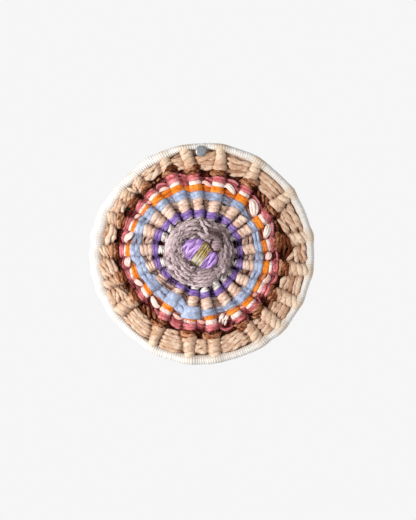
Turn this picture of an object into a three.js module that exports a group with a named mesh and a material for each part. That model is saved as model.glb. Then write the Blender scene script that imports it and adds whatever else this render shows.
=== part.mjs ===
// Round woven wall hanging on a wrapped hoop, with the nail that it hangs on.
//
// Frame: millimetres, +Z up. The wall is the plane Y = 0 and the front faces -Y.
// The origin is the point where the nail enters the wall.
// Places on the hanging are given by the angle a (clockwise from the top, seen from the front),
// the radius r from the hub, and the height h in front of the wall.
import * as THREE from 'three';

// ---------------------------------------------------------------- driving sizes
const HUB_X = 0.5;              // hub of the weaving, to the right of the nail
const HUB_DROP = 93.0;          // hub below the nail
const GAP = 0.3;                // clearance between neighbouring pieces
const RIB_HALF = [[97, 4.8], [80, 5.6], [62, 6.4], [44, 5.0], [34, 3.9], [30, 3.4]];   // half width of a rib at a radius
const RIB_SHARE = 0.4;          // and at most this much of the way to the next spoke

// One row a spoke of the warp: its angle in degrees at four radii (rim, foot, waist and near the hub),
// then the radius at which each ring of weft ends on that spoke, from the outside inwards.
const SPOKE_COLUMNS = ['rim', 'foot', 'waist', 'near', 'hoopOut', 'hoopIn', 'tan', 'brown', 'pink', 'white', 'orange', 'blue', 'sand', 'violet'];
const SPOKE_ROWS = [
  [ 10.2,  12.1,  13.7,  15.2, 100.8,  95.0,  77.9,  72.0,  66.6,  62.6,  56.7,  49.5,  39.1,  32.9],
  [ 31.4,  33.2,  36.4,  36.5, 101.7,  94.0,  79.2,  73.4,  68.0,  64.4,  58.1,  51.8,  40.5,  33.8],
  [ 55.4,  56.8,  60.7,  62.3, 101.7,  94.0,  77.4,  70.7,  65.2,  61.2,  54.9,  50.0,  38.7,  32.4],
  [ 80.4,  81.0,  82.0,  84.4, 102.2,  94.5,  77.9,  67.5,  63.0,  59.0,  54.5,  48.6,  37.8,  31.9],
  [ 98.7,  98.8, 101.2, 103.8, 101.7,  94.5,  77.4,  70.2,  64.4,  61.6,  55.4,  48.6,  37.8,  31.9],
  [117.2, 117.3, 119.5, 122.2, 101.7,  94.0,  76.0,  68.9,  63.0,  59.0,  55.2,  48.6,  37.8,  31.9],
  [132.2, 133.4, 135.7, 137.6, 100.8,  93.2,  76.0,  69.3,  64.4,  61.2,  56.1,  48.6,  37.4,  31.9],
  [145.8, 146.8, 150.5, 154.2,  99.5,  91.8,  75.2,  69.3,  64.8,  60.3,  55.2,  50.0,  39.6,  33.8],
  [172.5, 171.8, 171.8, 175.2,  99.0,  90.9,  75.6,  69.3,  63.5,  59.0,  55.2,  49.5,  39.1,  33.8],
  [186.4, 188.0, 190.0, 190.7,  99.0,  90.9,  74.7,  68.9,  63.0,  60.3,  58.3,  47.7,  37.8,  32.4],
  [208.3, 210.0, 212.4, 213.0,  99.5,  90.9,  74.2,  68.4,  62.1,  58.3,  53.5,  42.1,  36.5,  31.5],
  [234.5, 236.3, 236.3, 240.5, 100.8,  90.0,  73.8,  68.0,  63.0,  59.4,  55.4,  45.9,  39.1,  32.9],
  [251.0, 253.0, 254.7, 258.5, 101.2,  89.1,  76.0,  71.1,  66.2,  63.5,  59.0,  50.0,  42.8,  37.4],
  [271.0, 272.6, 273.4, 276.8, 101.7,  88.7,  80.1,  73.8,  69.5,  67.6,  63.9,  55.4,  44.6,  39.1],
  [291.5, 292.5, 293.4, 295.2, 101.2,  88.7,  79.2,  74.7,  69.6,  67.4,  63.7,  56.7,  45.5,  39.4],
  [307.6, 308.2, 308.6, 309.9, 100.8,  88.7,  78.8,  73.8,  68.2,  66.0,  63.0,  55.8,  43.8,  38.2],
  [319.0, 319.0, 321.6, 323.0,  99.9,  89.1,  79.7,  74.2,  69.3,  66.0,  60.0,  53.4,  43.2,  36.0],
  [338.5, 338.6, 340.0, 340.5,  99.9,  90.9,  81.9,  77.0,  68.9,  65.5,  59.6,  52.2,  41.0,  34.6],
  [350.4, 353.4, 355.1, 357.3,  99.9,  95.0,  77.9,  72.5,  66.6,  63.0,  56.9,  50.9,  40.5,  33.8],
];
const ANGLE_RADII = { rim: 97, foot: 79, waist: 60, near: 38 };
const SHORT_SPOKE = { after: 1, share: 0.515 };   // a twentieth spoke that starts at the sand ring
const STRAIGHT_TO = 7;          // the hoop runs straight from spoke to spoke as far as this one

// One row a ring of weft: the columns it lies between, its height on a spoke and between spokes,
// how far its middle is crowned, its colour and roughness.
const WEFTS = [
  { name: 'tan_weft', outer: 'tanOut', inner: 'tan', rib: 11.2, dip: 6.6, crown: 0.9, colour: 0xdcb491, rough: 0.8 },
  { name: 'brown_weft', outer: 'tan', inner: 'brown', rib: 9.2, dip: 4.8, crown: 0, colour: 0x8a5334, rough: 0.85 },
  { name: 'pink_weft', outer: 'brown', inner: 'pink', rib: 10.8, dip: 6.4, crown: 0, colour: 0xd97884, rough: 0.9 },
  { name: 'white_weft', outer: 'pink', inner: 'white', rib: 11.8, dip: 7.8, crown: 0, colour: 0xf3e7df, rough: 0.9 },
  { name: 'orange_weft', outer: 'white', inner: 'orange', rib: 12.2, dip: 8.2, crown: 0, colour: 0xf08419, rough: 0.9 },
  { name: 'blue_weft', outer: 'orange', inner: 'blue', rib: 12.9, dip: 9.2, crown: 0, colour: 0xa9bde0, rough: 0.95 },
  { name: 'sand_weft', outer: 'blue', inner: 'sand', rib: 13.2, dip: 8.8, crown: 0.6, colour: 0xe0bfa6, rough: 0.8, short: true },
  { name: 'violet_weft', outer: 'sand', inner: 'violet', rib: 13.2, dip: 9.6, crown: 0, colour: 0x7f5bc6, rough: 0.85, short: true },
  { name: 'metal_thread', outer: 'violet', inner: 'coil', rib: 12.8, dip: 10.6, crown: 0, colour: 0xb7aa8f, rough: 0.35, metal: 0.8, short: true },
];
const WEFT_BACK = 1.0;          // the back of the weave, just clear of the wall

const HOOP = { crown: 8.6, side: 4.2, innerSide: 4.4, backInset: 1.6, bump: 1.1 };

// The coil of thick wool at the hub, and the long hollow in it that holds the hank.
const COIL = { shiftX: -3.1, shiftZ: 2.0, rx: 30.3, rz: 29.5, back: 1.1, side: 10.8, shoulder: 15.6, crown: 17.9, lip: 15.8, floor: 9.0, stations: 54 };
const HOLLOW = { along: 19.4, across: 12.8, toward: 126 };      // half axes, and the way it points
const KNOB = { at: 59, spread: 16, rise: 1.6 };                 // a loop of the same wool that stands up

// The lilac hank, drawn in where the gold thread binds it. One row a section along it.
const HANK_COLUMNS = ['along', 'half', 'low', 'top'];
const HANK_ROWS = [
  [-17.9,  3.4, 13.0, 15.2],
  [-16.4,  6.4, 12.2, 16.6],
  [-14.0,  8.8, 11.6, 17.8],
  [-10.0, 11.0, 11.0, 19.0],
  [ -6.2, 11.2, 10.8, 19.2],
  [ -4.8, 10.2, 11.0, 18.0],
  [  0.0, 10.0, 11.0, 18.0],
  [  4.8, 10.2, 11.0, 18.0],
  [  6.2, 11.2, 10.8, 19.2],
  [  9.4, 11.0, 10.9, 18.8],
  [ 12.0,  9.6, 11.4, 17.8],
  [ 14.4,  6.8, 12.2, 16.4],
  [ 16.0,  3.4, 13.0, 15.0],
];
const HANK_TIPS = [[-18.4, 14.1], [16.5, 14.0]];   // where its two ends close: along it, and the height
const BIND = { half: 4.8, thick: 1.2, sides: 18 };

// Round-headed wire nail. One row a section: how far from the wall, and the radius.
const NAIL_ROWS = [
  { h: -16.0, r: 1.42 }, { h: 10.1, r: 1.42 }, { h: 10.1, r: 4.6 }, { h: 10.4, r: 4.95 }, { h: 11.0, r: 4.9 }, { h: 11.35, r: 4.2 },
];
const NAIL = { tip: -20.0, face: 11.5, sides: 14, uneven: 0.03 };

// ---------------------------------------------------------------- helpers
const TURN = Math.PI / 180;
const lerp = (a, b, t) => a + (b - a) * t;
const ease = (t) => t * t * (3 - 2 * t);
const rows = (columns, list) => list.map((row) => Object.fromEntries(columns.map((c, i) => [c, row[i]])));
const SPOKES = rows(SPOKE_COLUMNS, SPOKE_ROWS);

function place(a, r, h) {
  return [HUB_X + r * Math.sin(a), -h, -HUB_DROP + r * Math.cos(a)];
}

// A closed body from a grid of points: loops[j][i], closed in both directions.
// With caps, loops is open and its first and last loop close on a point each.
function closedGrid(loops, tips) {
  const n = loops[0].length;
  const points = loops.flat();
  const faces = [];
  const at = (j, i) => (j % loops.length) * n + (i % n);
  const spans = tips ? loops.length - 1 : loops.length;
  for (let j = 0; j < spans; j += 1) {
    for (let i = 0; i < n; i += 1) {
      faces.push(at(j, i), at(j + 1, i), at(j + 1, i + 1), at(j, i), at(j + 1, i + 1), at(j, i + 1));
    }
  }
  if (tips) {
    const first = points.push(tips[0]) - 1;
    const last = points.push(tips[1]) - 1;
    for (let i = 0; i < n; i += 1) {
      faces.push(first, at(0, i), at(0, i + 1));
      faces.push(last, at(loops.length - 1, i + 1), at(loops.length - 1, i));
    }
  }
  let volume = 0;
  const a = new THREE.Vector3(), b = new THREE.Vector3(), c = new THREE.Vector3();
  for (let f = 0; f < faces.length; f += 3) {
    a.fromArray(points[faces[f]]); b.fromArray(points[faces[f + 1]]); c.fromArray(points[faces[f + 2]]);
    volume += a.dot(b.cross(c));
  }
  if (volume < 0) {
    for (let f = 0; f < faces.length; f += 3) [faces[f + 1], faces[f + 2]] = [faces[f + 2], faces[f + 1]];
  }
  const geometry = new THREE.BufferGeometry();
  geometry.setAttribute('position', new THREE.Float32BufferAttribute(points.flat(), 3));
  geometry.setIndex(faces);
  geometry.computeVertexNormals();
  return geometry;
}

// ---------------------------------------------------------------- the lines of the weave
function ribHalf(r) {
  for (let i = 0; i + 1 < RIB_HALF.length; i += 1) {
    const [r0, w0] = RIB_HALF[i], [r1, w1] = RIB_HALF[i + 1];
    if (r >= r1 || i + 2 === RIB_HALF.length) return lerp(w0, w1, Math.min(1, Math.max(0, (r0 - r) / (r0 - r1))));
  }
  return RIB_HALF[0][1];
}

// Angle of spoke k at radius r, for spokes that lean a little.
function spokeAngle(k, r) {
  const s = SPOKES[k % SPOKES.length], named = Object.entries(ANGLE_RADII);
  let i = 0;
  while (i + 2 < named.length && r < named[i + 1][1]) i += 1;
  const [from, r0] = named[i], [to, r1] = named[i + 1];
  const t = Math.min(1, Math.max(0, (r0 - r) / (r0 - r1)));
  return (lerp(s[from], s[to], t) + (k >= SPOKES.length ? 360 : 0)) * TURN;
}

// Five stations from one spoke to the next: two edges of each rib, and the middle of the gap.
const STATIONS = [];
for (let k = 0; k < SPOKES.length; k += 1) for (let s = 0; s < 5; s += 1) STATIONS.push({ k, s });

function stationAt({ k, s }, r) {
  const a0 = spokeAngle(k, r), a1 = spokeAngle(k + 1, r);
  const w = Math.min(RIB_SHARE, ribHalf(r) / ((a1 - a0) * r));
  const middle = k === SHORT_SPOKE.after ? SHORT_SPOKE.share : 0.5;
  const share = [0.5 * w, 1.15 * w, middle, 1 - 1.15 * w, 1 - 0.5 * w][s];
  return { a: lerp(a0, a1, share), share };
}

function coilRadius(a) {
  // distance from the hub to the oval outer edge of the coil along the direction a
  const dx = Math.sin(a), dz = Math.cos(a);
  const A = (dx / COIL.rx) ** 2 + (dz / COIL.rz) ** 2;
  const B = -2 * ((dx * COIL.shiftX) / COIL.rx ** 2 + (dz * COIL.shiftZ) / COIL.rz ** 2);
  const C = (COIL.shiftX / COIL.rx) ** 2 + (COIL.shiftZ / COIL.rz) ** 2 - 1;
  return (-B + Math.sqrt(B * B - 4 * A * C)) / (2 * A);
}

// Radius of a named line at a station.
function lineAt(column, station) {
  const near = SPOKES[station.k], next = SPOKES[(station.k + 1) % SPOKES.length];
  const guess = column === 'coil' ? 31 : near[column === 'tanOut' ? 'hoopIn' : column];
  const { a, share } = stationAt(station, guess);
  if (column === 'coil') return { a, r: coilRadius(a) };
  if (column === 'tanOut') {
    // the tan weft stops under the nail's shank
    const underNail = station.k === SPOKES.length - 1 && share > 0.15 && share < 0.85;
    return { a, r: underNail ? 91.0 : lineAt('hoopIn', station).r };
  }
  const straight = (column === 'hoopOut' || column === 'hoopIn') && station.k < STRAIGHT_TO;
  if (straight) {
    const a0 = spokeAngle(station.k, guess), a1 = spokeAngle(station.k + 1, guess), wide = a1 - a0;
    const r0 = near[column], r1 = next[column];
    return { a, r: (r0 * r1 * Math.sin(wide)) / (r0 * Math.sin(share * wide) + r1 * Math.sin((1 - share) * wide)) };
  }
  return { a, r: lerp(near[column], next[column], ease(share)) };
}

// 1 on a rib, 0 between ribs.
const onRib = ({ s }) => (s === 0 || s === 4 ? 1 : 0);
const onShortSpoke = ({ k, s }) => (k === SHORT_SPOKE.after && s === 2 ? 1 : 0);
const uneven = (k, seed) => Math.sin(k * 2.4 + seed) * 0.6 + Math.sin(k * 1.1 + seed * 2.3) * 0.4;

// ---------------------------------------------------------------- the pieces
function weftRing(row, seed) {
  const loops = STATIONS.map((station) => {
    const out = lineAt(row.outer, station), inn = lineAt(row.inner, station);
    const rib = Math.max(onRib(station), row.short ? onShortSpoke(station) : 0);
    const k = station.s === 4 ? station.k + 1 : station.k;
    const h = lerp(row.dip, row.rib, rib) + 0.35 * uneven(k % SPOKES.length, seed);
    const ro = out.r - GAP / 2, ri = inn.r + GAP / 2;
    const section = [place(out.a, ro, WEFT_BACK), place(out.a, ro, h - row.crown)];
    if (row.crown > 0) section.push(place((out.a + inn.a) / 2, (ro + ri) / 2, h + row.crown * 0.4));
    section.push(place(inn.a, ri, h - row.crown * 0.6), place(inn.a, ri, WEFT_BACK));
    return section;
  });
  return closedGrid(loops);
}

function hoopRing() {
  const loops = STATIONS.map((station) => {
    const out = lineAt('hoopOut', station), inn = lineAt('hoopIn', station);
    const rib = onRib(station);
    const k = (station.s === 4 ? station.k + 1 : station.k) % SPOKES.length;
    const wide = out.r - inn.r;
    const ro = out.r + 0.4 * uneven(k, 1.7) * (station.s === 2 ? 1 : 0.3), ri = inn.r + GAP / 2;
    const crown = HOOP.crown + HOOP.bump * rib;
    return [
      place(out.a, ro - HOOP.backInset, 0),
      place(out.a, ro, HOOP.side),
      place(out.a, ro - 2.0, crown - 0.5),
      place(out.a, ro - 4.6, crown),
      place(inn.a, ri, wide > 9 ? 5.6 : 6.6),
      place(inn.a, ri + HOOP.backInset * 0.5, 0),
    ];
  });
  return closedGrid(loops);
}

function hollowRadius(a) {
  const t = a - HOLLOW.toward * TURN;
  return (HOLLOW.along * HOLLOW.across) / Math.hypot(HOLLOW.across * Math.cos(t), HOLLOW.along * Math.sin(t));
}

function coilBody() {
  const loops = [];
  const fall = (a, at, spread) => {
    const d = Math.abs(((a / TURN - at + 540) % 360) - 180) / spread;
    return d < 1 ? 0.5 + 0.5 * Math.cos(Math.PI * d) : 0;
  };
  for (let j = 0; j < COIL.stations; j += 1) {
    const a = (j * 360 * TURN) / COIL.stations;
    const rc = coilRadius(a) - GAP / 2, rh = hollowRadius(a);
    const roll = 0.5 * Math.sin(7 * a + 0.6) + 0.35 * Math.sin(3 * a + 2.1);
    const knob = KNOB.rise * fall(a, KNOB.at, KNOB.spread);
    loops.push([
      place(a, rh * 0.8, COIL.floor),
      place(a, rh + 1.5, COIL.lip + knob + 0.3 * roll),
      place(a, (rh + rc) / 2 + 0.5, COIL.crown + roll + knob * 0.6),
      place(a, rc - 2.2, COIL.shoulder + 0.4 * roll),
      place(a, rc, COIL.side),
      place(a, rc - 0.6, COIL.back),
    ]);
  }
  // the loops run round; the floor and the back each close on the axis
  const n = loops.length, points = loops.flat(), faces = [], m = loops[0].length;
  for (let j = 0; j < n; j += 1) {
    const j1 = (j + 1) % n;
    for (let i = 0; i + 1 < m; i += 1) {
      faces.push(j * m + i, j1 * m + i, j1 * m + i + 1, j * m + i, j1 * m + i + 1, j * m + i + 1);
    }
  }
  const floor = points.push(place(0, 0, COIL.floor)) - 1, back = points.push(place(0, 0, COIL.back)) - 1;
  for (let j = 0; j < n; j += 1) {
    const j1 = (j + 1) % n;
    faces.push(floor, j1 * m, j * m, back, j * m + m - 1, j1 * m + m - 1);
  }
  let volume = 0;
  const a = new THREE.Vector3(), b = new THREE.Vector3(), c = new THREE.Vector3();
  for (let f = 0; f < faces.length; f += 3) {
    a.fromArray(points[faces[f]]); b.fromArray(points[faces[f + 1]]); c.fromArray(points[faces[f + 2]]);
    volume += a.dot(b.cross(c));
  }
  if (volume < 0) for (let f = 0; f < faces.length; f += 3) [faces[f + 1], faces[f + 2]] = [faces[f + 2], faces[f + 1]];
  const geometry = new THREE.BufferGeometry();
  geometry.setAttribute('position', new THREE.Float32BufferAttribute(points.flat(), 3));
  geometry.setIndex(faces);
  geometry.computeVertexNormals();
  return geometry;
}

// Along and across the hank, and its height.
function onHank(along, across, h) {
  const t = HOLLOW.toward * TURN;
  return [HUB_X + along * Math.sin(t) - across * Math.cos(t), -h, -HUB_DROP + along * Math.cos(t) + across * Math.sin(t)];
}

const HANK = rows(HANK_COLUMNS, HANK_ROWS);
const HANK_SIDES = 12;

function hankBody() {
  const loops = HANK.map((row) => {
    const middle = (row.low + row.top) / 2, half = (row.top - row.low) / 2, loop = [];
    for (let i = 0; i < HANK_SIDES; i += 1) {
      const t = (i * 2 * Math.PI) / HANK_SIDES;
      loop.push(onHank(row.along, row.half * Math.cos(t), middle + half * Math.sin(t)));
    }
    return loop;
  });
  return closedGrid(loops, HANK_TIPS.map(([along, h]) => onHank(along, 0, h)));
}

function bindingRing() {
  const held = HANK.filter((row) => Math.abs(row.along) <= BIND.half + 0.01);
  const loops = [];
  for (let i = 0; i < BIND.sides; i += 1) {
    const t = (i * 2 * Math.PI) / BIND.sides;
    const ring = (row, out) => {
      const middle = (row.low + row.top) / 2, half = (row.top - row.low) / 2;
      return onHank(row.along, (row.half + out) * Math.cos(t), middle + (half + out) * Math.sin(t));
    };
    const inner = held.map((row) => ring(row, GAP + 0.15));
    const outer = held.map((row) => ring(row, GAP + BIND.thick)).reverse();
    loops.push([...inner, ...outer]);
  }
  return closedGrid(loops);
}

function nailBody() {
  const loops = NAIL_ROWS.map(({ h, r }) => {
    const loop = [];
    for (let i = 0; i < NAIL.sides; i += 1) {
      const t = (i * 2 * Math.PI) / NAIL.sides;
      const head = r > 2 ? 1 + NAIL.uneven * Math.sin(3 * t + 0.8) : 1;
      loop.push([r * head * Math.cos(t), -h, r * head * Math.sin(t)]);
    }
    return loop;
  });
  return closedGrid(loops, [[0, -NAIL.tip, 0], [0, -NAIL.face, 0]]);
}

// ---------------------------------------------------------------- the hanging
const hanging = new THREE.Group();
function add(name, geometry, color, roughness, metalness = 0) {
  const mesh = new THREE.Mesh(geometry, new THREE.MeshStandardMaterial({ color, roughness, metalness }));
  mesh.name = name;
  hanging.add(mesh);
}

add('hoop_wrap', hoopRing(), 0xf0ede4, 0.75);
WEFTS.forEach((row, i) => add(row.name, weftRing(row, i * 1.9), row.colour, row.rough, row.metal ?? 0));
add('mauve_coil', coilBody(), 0xa89798, 0.95);
add('lilac_pad', hankBody(), 0xc6a0ea, 0.85);
add('gold_binding', bindingRing(), 0xc1a362, 0.35, 0.8);
add('nail', nailBody(), 0x969ba0, 0.45, 0.9);

export default hanging;
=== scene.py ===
import math

import bpy
import numpy as np
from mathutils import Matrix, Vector


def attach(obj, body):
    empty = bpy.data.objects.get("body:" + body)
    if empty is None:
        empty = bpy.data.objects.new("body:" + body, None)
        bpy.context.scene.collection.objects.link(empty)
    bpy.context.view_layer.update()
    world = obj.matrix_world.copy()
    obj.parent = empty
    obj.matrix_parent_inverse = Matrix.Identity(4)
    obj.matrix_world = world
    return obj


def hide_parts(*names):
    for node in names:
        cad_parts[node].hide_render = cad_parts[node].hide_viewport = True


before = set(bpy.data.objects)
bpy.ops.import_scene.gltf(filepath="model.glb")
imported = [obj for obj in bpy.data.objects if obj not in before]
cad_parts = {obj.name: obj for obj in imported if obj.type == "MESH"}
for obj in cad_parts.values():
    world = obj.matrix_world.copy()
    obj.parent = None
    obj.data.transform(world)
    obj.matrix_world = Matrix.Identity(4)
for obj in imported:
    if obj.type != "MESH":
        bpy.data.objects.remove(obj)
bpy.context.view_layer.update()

# Everything below is worked out in millimetres and turned into metres when a mesh is made.
# a is the angle clockwise from the top as seen from the front, r the distance from the hub,
# h the height in front of the wall.
HUB_X, HUB_Z = 0.5, -93.0
PIXEL = 0.9                       # millimetres of the hanging to one pixel of the photograph

COLUMNS = ("rim", "foot", "waist", "near", "hoopOut", "hoopIn", "tan", "brown", "pink", "white", "orange", "blue", "sand", "violet")
ROWS = [
    [10.2, 12.1, 13.7, 15.2, 100.8, 95.0, 77.9, 72.0, 66.6, 62.6, 56.7, 49.5, 39.1, 32.9],
    [31.4, 33.2, 36.4, 36.5, 101.7, 94.0, 79.2, 73.4, 68.0, 64.4, 58.1, 51.8, 40.5, 33.8],
    [55.4, 56.8, 60.7, 62.3, 101.7, 94.0, 77.4, 70.7, 65.2, 61.2, 54.9, 50.0, 38.7, 32.4],
    [80.4, 81.0, 82.0, 84.4, 102.2, 94.5, 77.9, 67.5, 63.0, 59.0, 54.5, 48.6, 37.8, 31.9],
    [98.7, 98.8, 101.2, 103.8, 101.7, 94.5, 77.4, 70.2, 64.4, 61.6, 55.4, 48.6, 37.8, 31.9],
    [117.2, 117.3, 119.5, 122.2, 101.7, 94.0, 76.0, 68.9, 63.0, 59.0, 55.2, 48.6, 37.8, 31.9],
    [132.2, 133.4, 135.7, 137.6, 100.8, 93.2, 76.0, 69.3, 64.4, 61.2, 56.1, 48.6, 37.4, 31.9],
    [145.8, 146.8, 150.5, 154.2, 99.5, 91.8, 75.2, 69.3, 64.8, 60.3, 55.2, 50.0, 39.6, 33.8],
    [172.5, 171.8, 171.8, 175.2, 99.0, 90.9, 75.6, 69.3, 63.5, 59.0, 55.2, 49.5, 39.1, 33.8],
    [186.4, 188.0, 190.0, 190.7, 99.0, 90.9, 74.7, 68.9, 63.0, 60.3, 58.3, 47.7, 37.8, 32.4],
    [208.3, 210.0, 212.4, 213.0, 99.5, 90.9, 74.2, 68.4, 62.1, 58.3, 53.5, 42.1, 36.5, 31.5],
    [234.5, 236.3, 236.3, 240.5, 100.8, 90.0, 73.8, 68.0, 63.0, 59.4, 55.4, 45.9, 39.1, 32.9],
    [251.0, 253.0, 254.7, 258.5, 101.2, 89.1, 76.0, 71.1, 66.2, 63.5, 59.0, 50.0, 42.8, 37.4],
    [271.0, 272.6, 273.4, 276.8, 101.7, 88.7, 80.1, 73.8, 69.5, 67.6, 63.9, 55.4, 44.6, 39.1],
    [291.5, 292.5, 293.4, 295.2, 101.2, 88.7, 79.2, 74.7, 69.6, 67.4, 63.7, 56.7, 45.5, 39.4],
    [307.6, 308.2, 308.6, 309.9, 100.8, 88.7, 78.8, 73.8, 68.2, 66.0, 63.0, 55.8, 43.8, 38.2],
    [319.0, 319.0, 321.6, 323.0, 99.9, 89.1, 79.7, 74.2, 69.3, 66.0, 60.0, 53.4, 43.2, 36.0],
    [338.5, 338.6, 340.0, 340.5, 99.9, 90.9, 81.9, 77.0, 68.9, 65.5, 59.6, 52.2, 41.0, 34.6],
    [350.4, 353.4, 355.1, 357.3, 99.9, 95.0, 77.9, 72.5, 66.6, 63.0, 56.9, 50.9, 40.5, 33.8],
]
SPOKE = {c: np.array([row[i] for row in ROWS], float) for i, c in enumerate(COLUMNS)}
N = len(ROWS)
SHORT = (1, 0.515)                # a twentieth spoke, only near the hub, after spoke 1
ANGLE_R = (97.0, 79.0, 60.0, 38.0)      # the radii of the columns rim, foot, waist and near
RIB_R = [30.0, 34.0, 38.0, 44.0, 50.0, 56.0, 62.0, 68.0, 74.0, 80.0, 90.0, 97.0]
RIB_HALF = [3.4, 3.9, 4.2, 4.6, 5.0, 5.4, 5.7, 5.8, 5.8, 5.6, 5.2, 4.8]
EDGE = [111.5, 112.2, 113, 112.6, 112.2, 112.8, 113.5, 112.8, 112.2, 112.5, 112.8, 114, 112.5, 112.5, 112.5, 112.5, 114.5, 113,
        113, 113, 113.5, 112.2, 112.2, 113.2, 112, 111.8, 112.8, 112.8, 110.8, 111.5, 111, 110, 109.5, 109.5, 110.2, 110.2,
        110.2, 111, 111, 110.2, 110.2, 111, 110.2, 109, 109.5, 109.5, 109.8, 111.5, 110.8, 110, 112.2, 111.2, 112.5, 111.8,
        113, 111, 113.5, 111.2, 112.2, 112, 110.2, 110, 110, 109.5, 108.8, 110, 112, 111, 111.2, 111.5, 111.5, 111.5]
COIL = dict(x=-3.1, z=2.0, rx=30.3, rz=29.5)
STRAIGHT_TO = 7

seeded = np.random.default_rng


def place(a, r, h):
    """Points in millimetres for angles in radians, radii and heights."""
    a, r, h = np.broadcast_arrays(np.asarray(a, float), r, h)
    return np.stack([HUB_X + r * np.sin(a), -h, HUB_Z + r * np.cos(a)], axis=-1)


def ease(t):
    t = np.clip(t, 0, 1)
    return t * t * (3 - 2 * t)


def spoke_angle(k, r):
    """Angle in radians of spoke k (an integer or an array) at radius r."""
    k = np.asarray(k)
    i, turns = np.mod(k, N), np.floor_divide(k, N)
    angle = SPOKE["rim"][i]
    for j, column in enumerate(("foot", "waist", "near")):
        share = np.clip((ANGLE_R[j] - r) / (ANGLE_R[j] - ANGLE_R[j + 1]), 0, 1)
        angle = angle + (SPOKE[column][i] - SPOKE[("rim", "foot", "waist")[j]][i]) * share
    return np.radians(angle + 360.0 * turns)


def rib_half(r, k=None, short=False):
    """Half width in millimetres of rib k at radius r: narrower where its neighbours are near."""
    w = np.interp(r, RIB_R, RIB_HALF)
    if k is None:
        return w
    here, left, right = spoke_angle(k, r), spoke_angle(k - 1, r), spoke_angle(k + 1, r)
    if short:
        i, share = SHORT
        extra = spoke_angle(i, r) + (spoke_angle(i + 1, r) - spoke_angle(i, r)) * share
        if k % N == i:
            right = extra
        if k % N == (i + 1) % N:
            left = extra
    return float(np.minimum(w, 0.44 * np.minimum(here - left, right - here) * r))


def coil_edge(a):
    dx, dz = np.sin(a), np.cos(a)
    A = (dx / COIL["rx"]) ** 2 + (dz / COIL["rz"]) ** 2
    B = -2 * (dx * COIL["x"] / COIL["rx"] ** 2 + dz * COIL["z"] / COIL["rz"] ** 2)
    C = (COIL["x"] / COIL["rx"]) ** 2 + (COIL["z"] / COIL["rz"]) ** 2 - 1
    return (-B + np.sqrt(B * B - 4 * A * C)) / (2 * A)


def line_at(column, a):
    """Radius of one of the table's lines at angles a, in radians."""
    a = np.mod(np.asarray(a, float), 2 * math.pi)
    if column == "coil":
        return coil_edge(a)
    k = np.arange(-2, N + 2)
    values = SPOKE[column][np.mod(k, N)]
    angles = spoke_angle(k, values)
    i = np.clip(np.searchsorted(angles, a, side="right") - 1, 0, len(k) - 2)
    a0, a1, r0, r1 = angles[i], angles[i + 1], values[i], values[i + 1]
    share = (a - a0) / (a1 - a0)
    curved = r0 + (r1 - r0) * ease(share)
    if column in ("hoopOut", "hoopIn"):
        wide = a1 - a0
        chord = r0 * r1 * np.sin(wide) / (r0 * np.sin(share * wide) + r1 * np.sin((1 - share) * wide))
        first = k[i]
        straight = np.where((first >= 0) & (first < STRAIGHT_TO), 0.4, 0.1)
        return chord * straight + curved * (1 - straight)
    return curved


def nearest_rib(a, r, short=False):
    """Signed distance in millimetres to the nearest spoke's line, and its number."""
    k = np.arange(-1, N + 1)
    angles = spoke_angle(k[:, None], r.ravel()[None, :])
    if short:
        i, share = SHORT
        extra = angles[i + 1] + (angles[i + 2] - angles[i + 1]) * share
        angles = np.vstack([angles, extra])
        k = np.append(k, i)
    d = (np.mod(a.ravel()[None, :], 2 * math.pi) - angles) * r.ravel()[None, :]
    j = np.abs(d).argmin(axis=0)
    return d[j, np.arange(d.shape[1])].reshape(a.shape), np.mod(k[j], N).reshape(a.shape)


# ------------------------------------------------------------------ meshes
class Made:
    """Vertices, faces and per-vertex values of one piece, gathered from many tubes."""

    def __init__(self):
        self.points, self.quads, self.tris, self.count = [], [], [], 0
        self.values = {n: [] for n in ("strand", "shade", "pale", "along", "around", "cavity")}

    def add(self, points, quads, tris=None, **values):
        points = points.reshape(-1, 3)
        self.points.append(points)
        if quads is not None and len(quads):
            self.quads.append(quads + self.count)
        if tris is not None and len(tris):
            self.tris.append(tris + self.count)
        for n, store in self.values.items():
            v = np.asarray(values.get(n, 0.0), float)
            store.append(np.broadcast_to(v, (len(points),)) if v.ndim == 0 else v.reshape(-1))
        self.count += len(points)

    def mesh(self, name, material):
        points = np.concatenate(self.points) * 0.001
        quads = np.concatenate(self.quads) if self.quads else np.zeros((0, 4), int)
        tris = np.concatenate(self.tris) if self.tris else np.zeros((0, 3), int)
        mesh = bpy.data.meshes.new(name)
        mesh.vertices.add(len(points))
        mesh.vertices.foreach_set("co", points.astype(np.float32).ravel())
        loops = np.concatenate([quads.ravel(), tris.ravel()]).astype(np.int32)
        mesh.loops.add(len(loops))
        mesh.loops.foreach_set("vertex_index", loops)
        mesh.polygons.add(len(quads) + len(tris))
        starts = np.concatenate([np.arange(len(quads)) * 4, len(quads) * 4 + np.arange(len(tris)) * 3])
        mesh.polygons.foreach_set("loop_start", starts.astype(np.int32))
        mesh.polygons.foreach_set("use_smooth", np.ones(len(starts), bool))
        for n, store in self.values.items():
            mesh.attributes.new(n, "FLOAT", "POINT").data.foreach_set("value", np.concatenate(store).astype(np.float32))
        mesh.update(calc_edges=True)
        mesh.validate()
        mesh.materials.append(material)
        piece = bpy.data.objects.new(name, mesh)
        bpy.context.scene.collection.objects.link(piece)
        return piece


def unit(v):
    return v / np.maximum(np.linalg.norm(v, axis=-1, keepdims=True), 1e-9)


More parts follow.
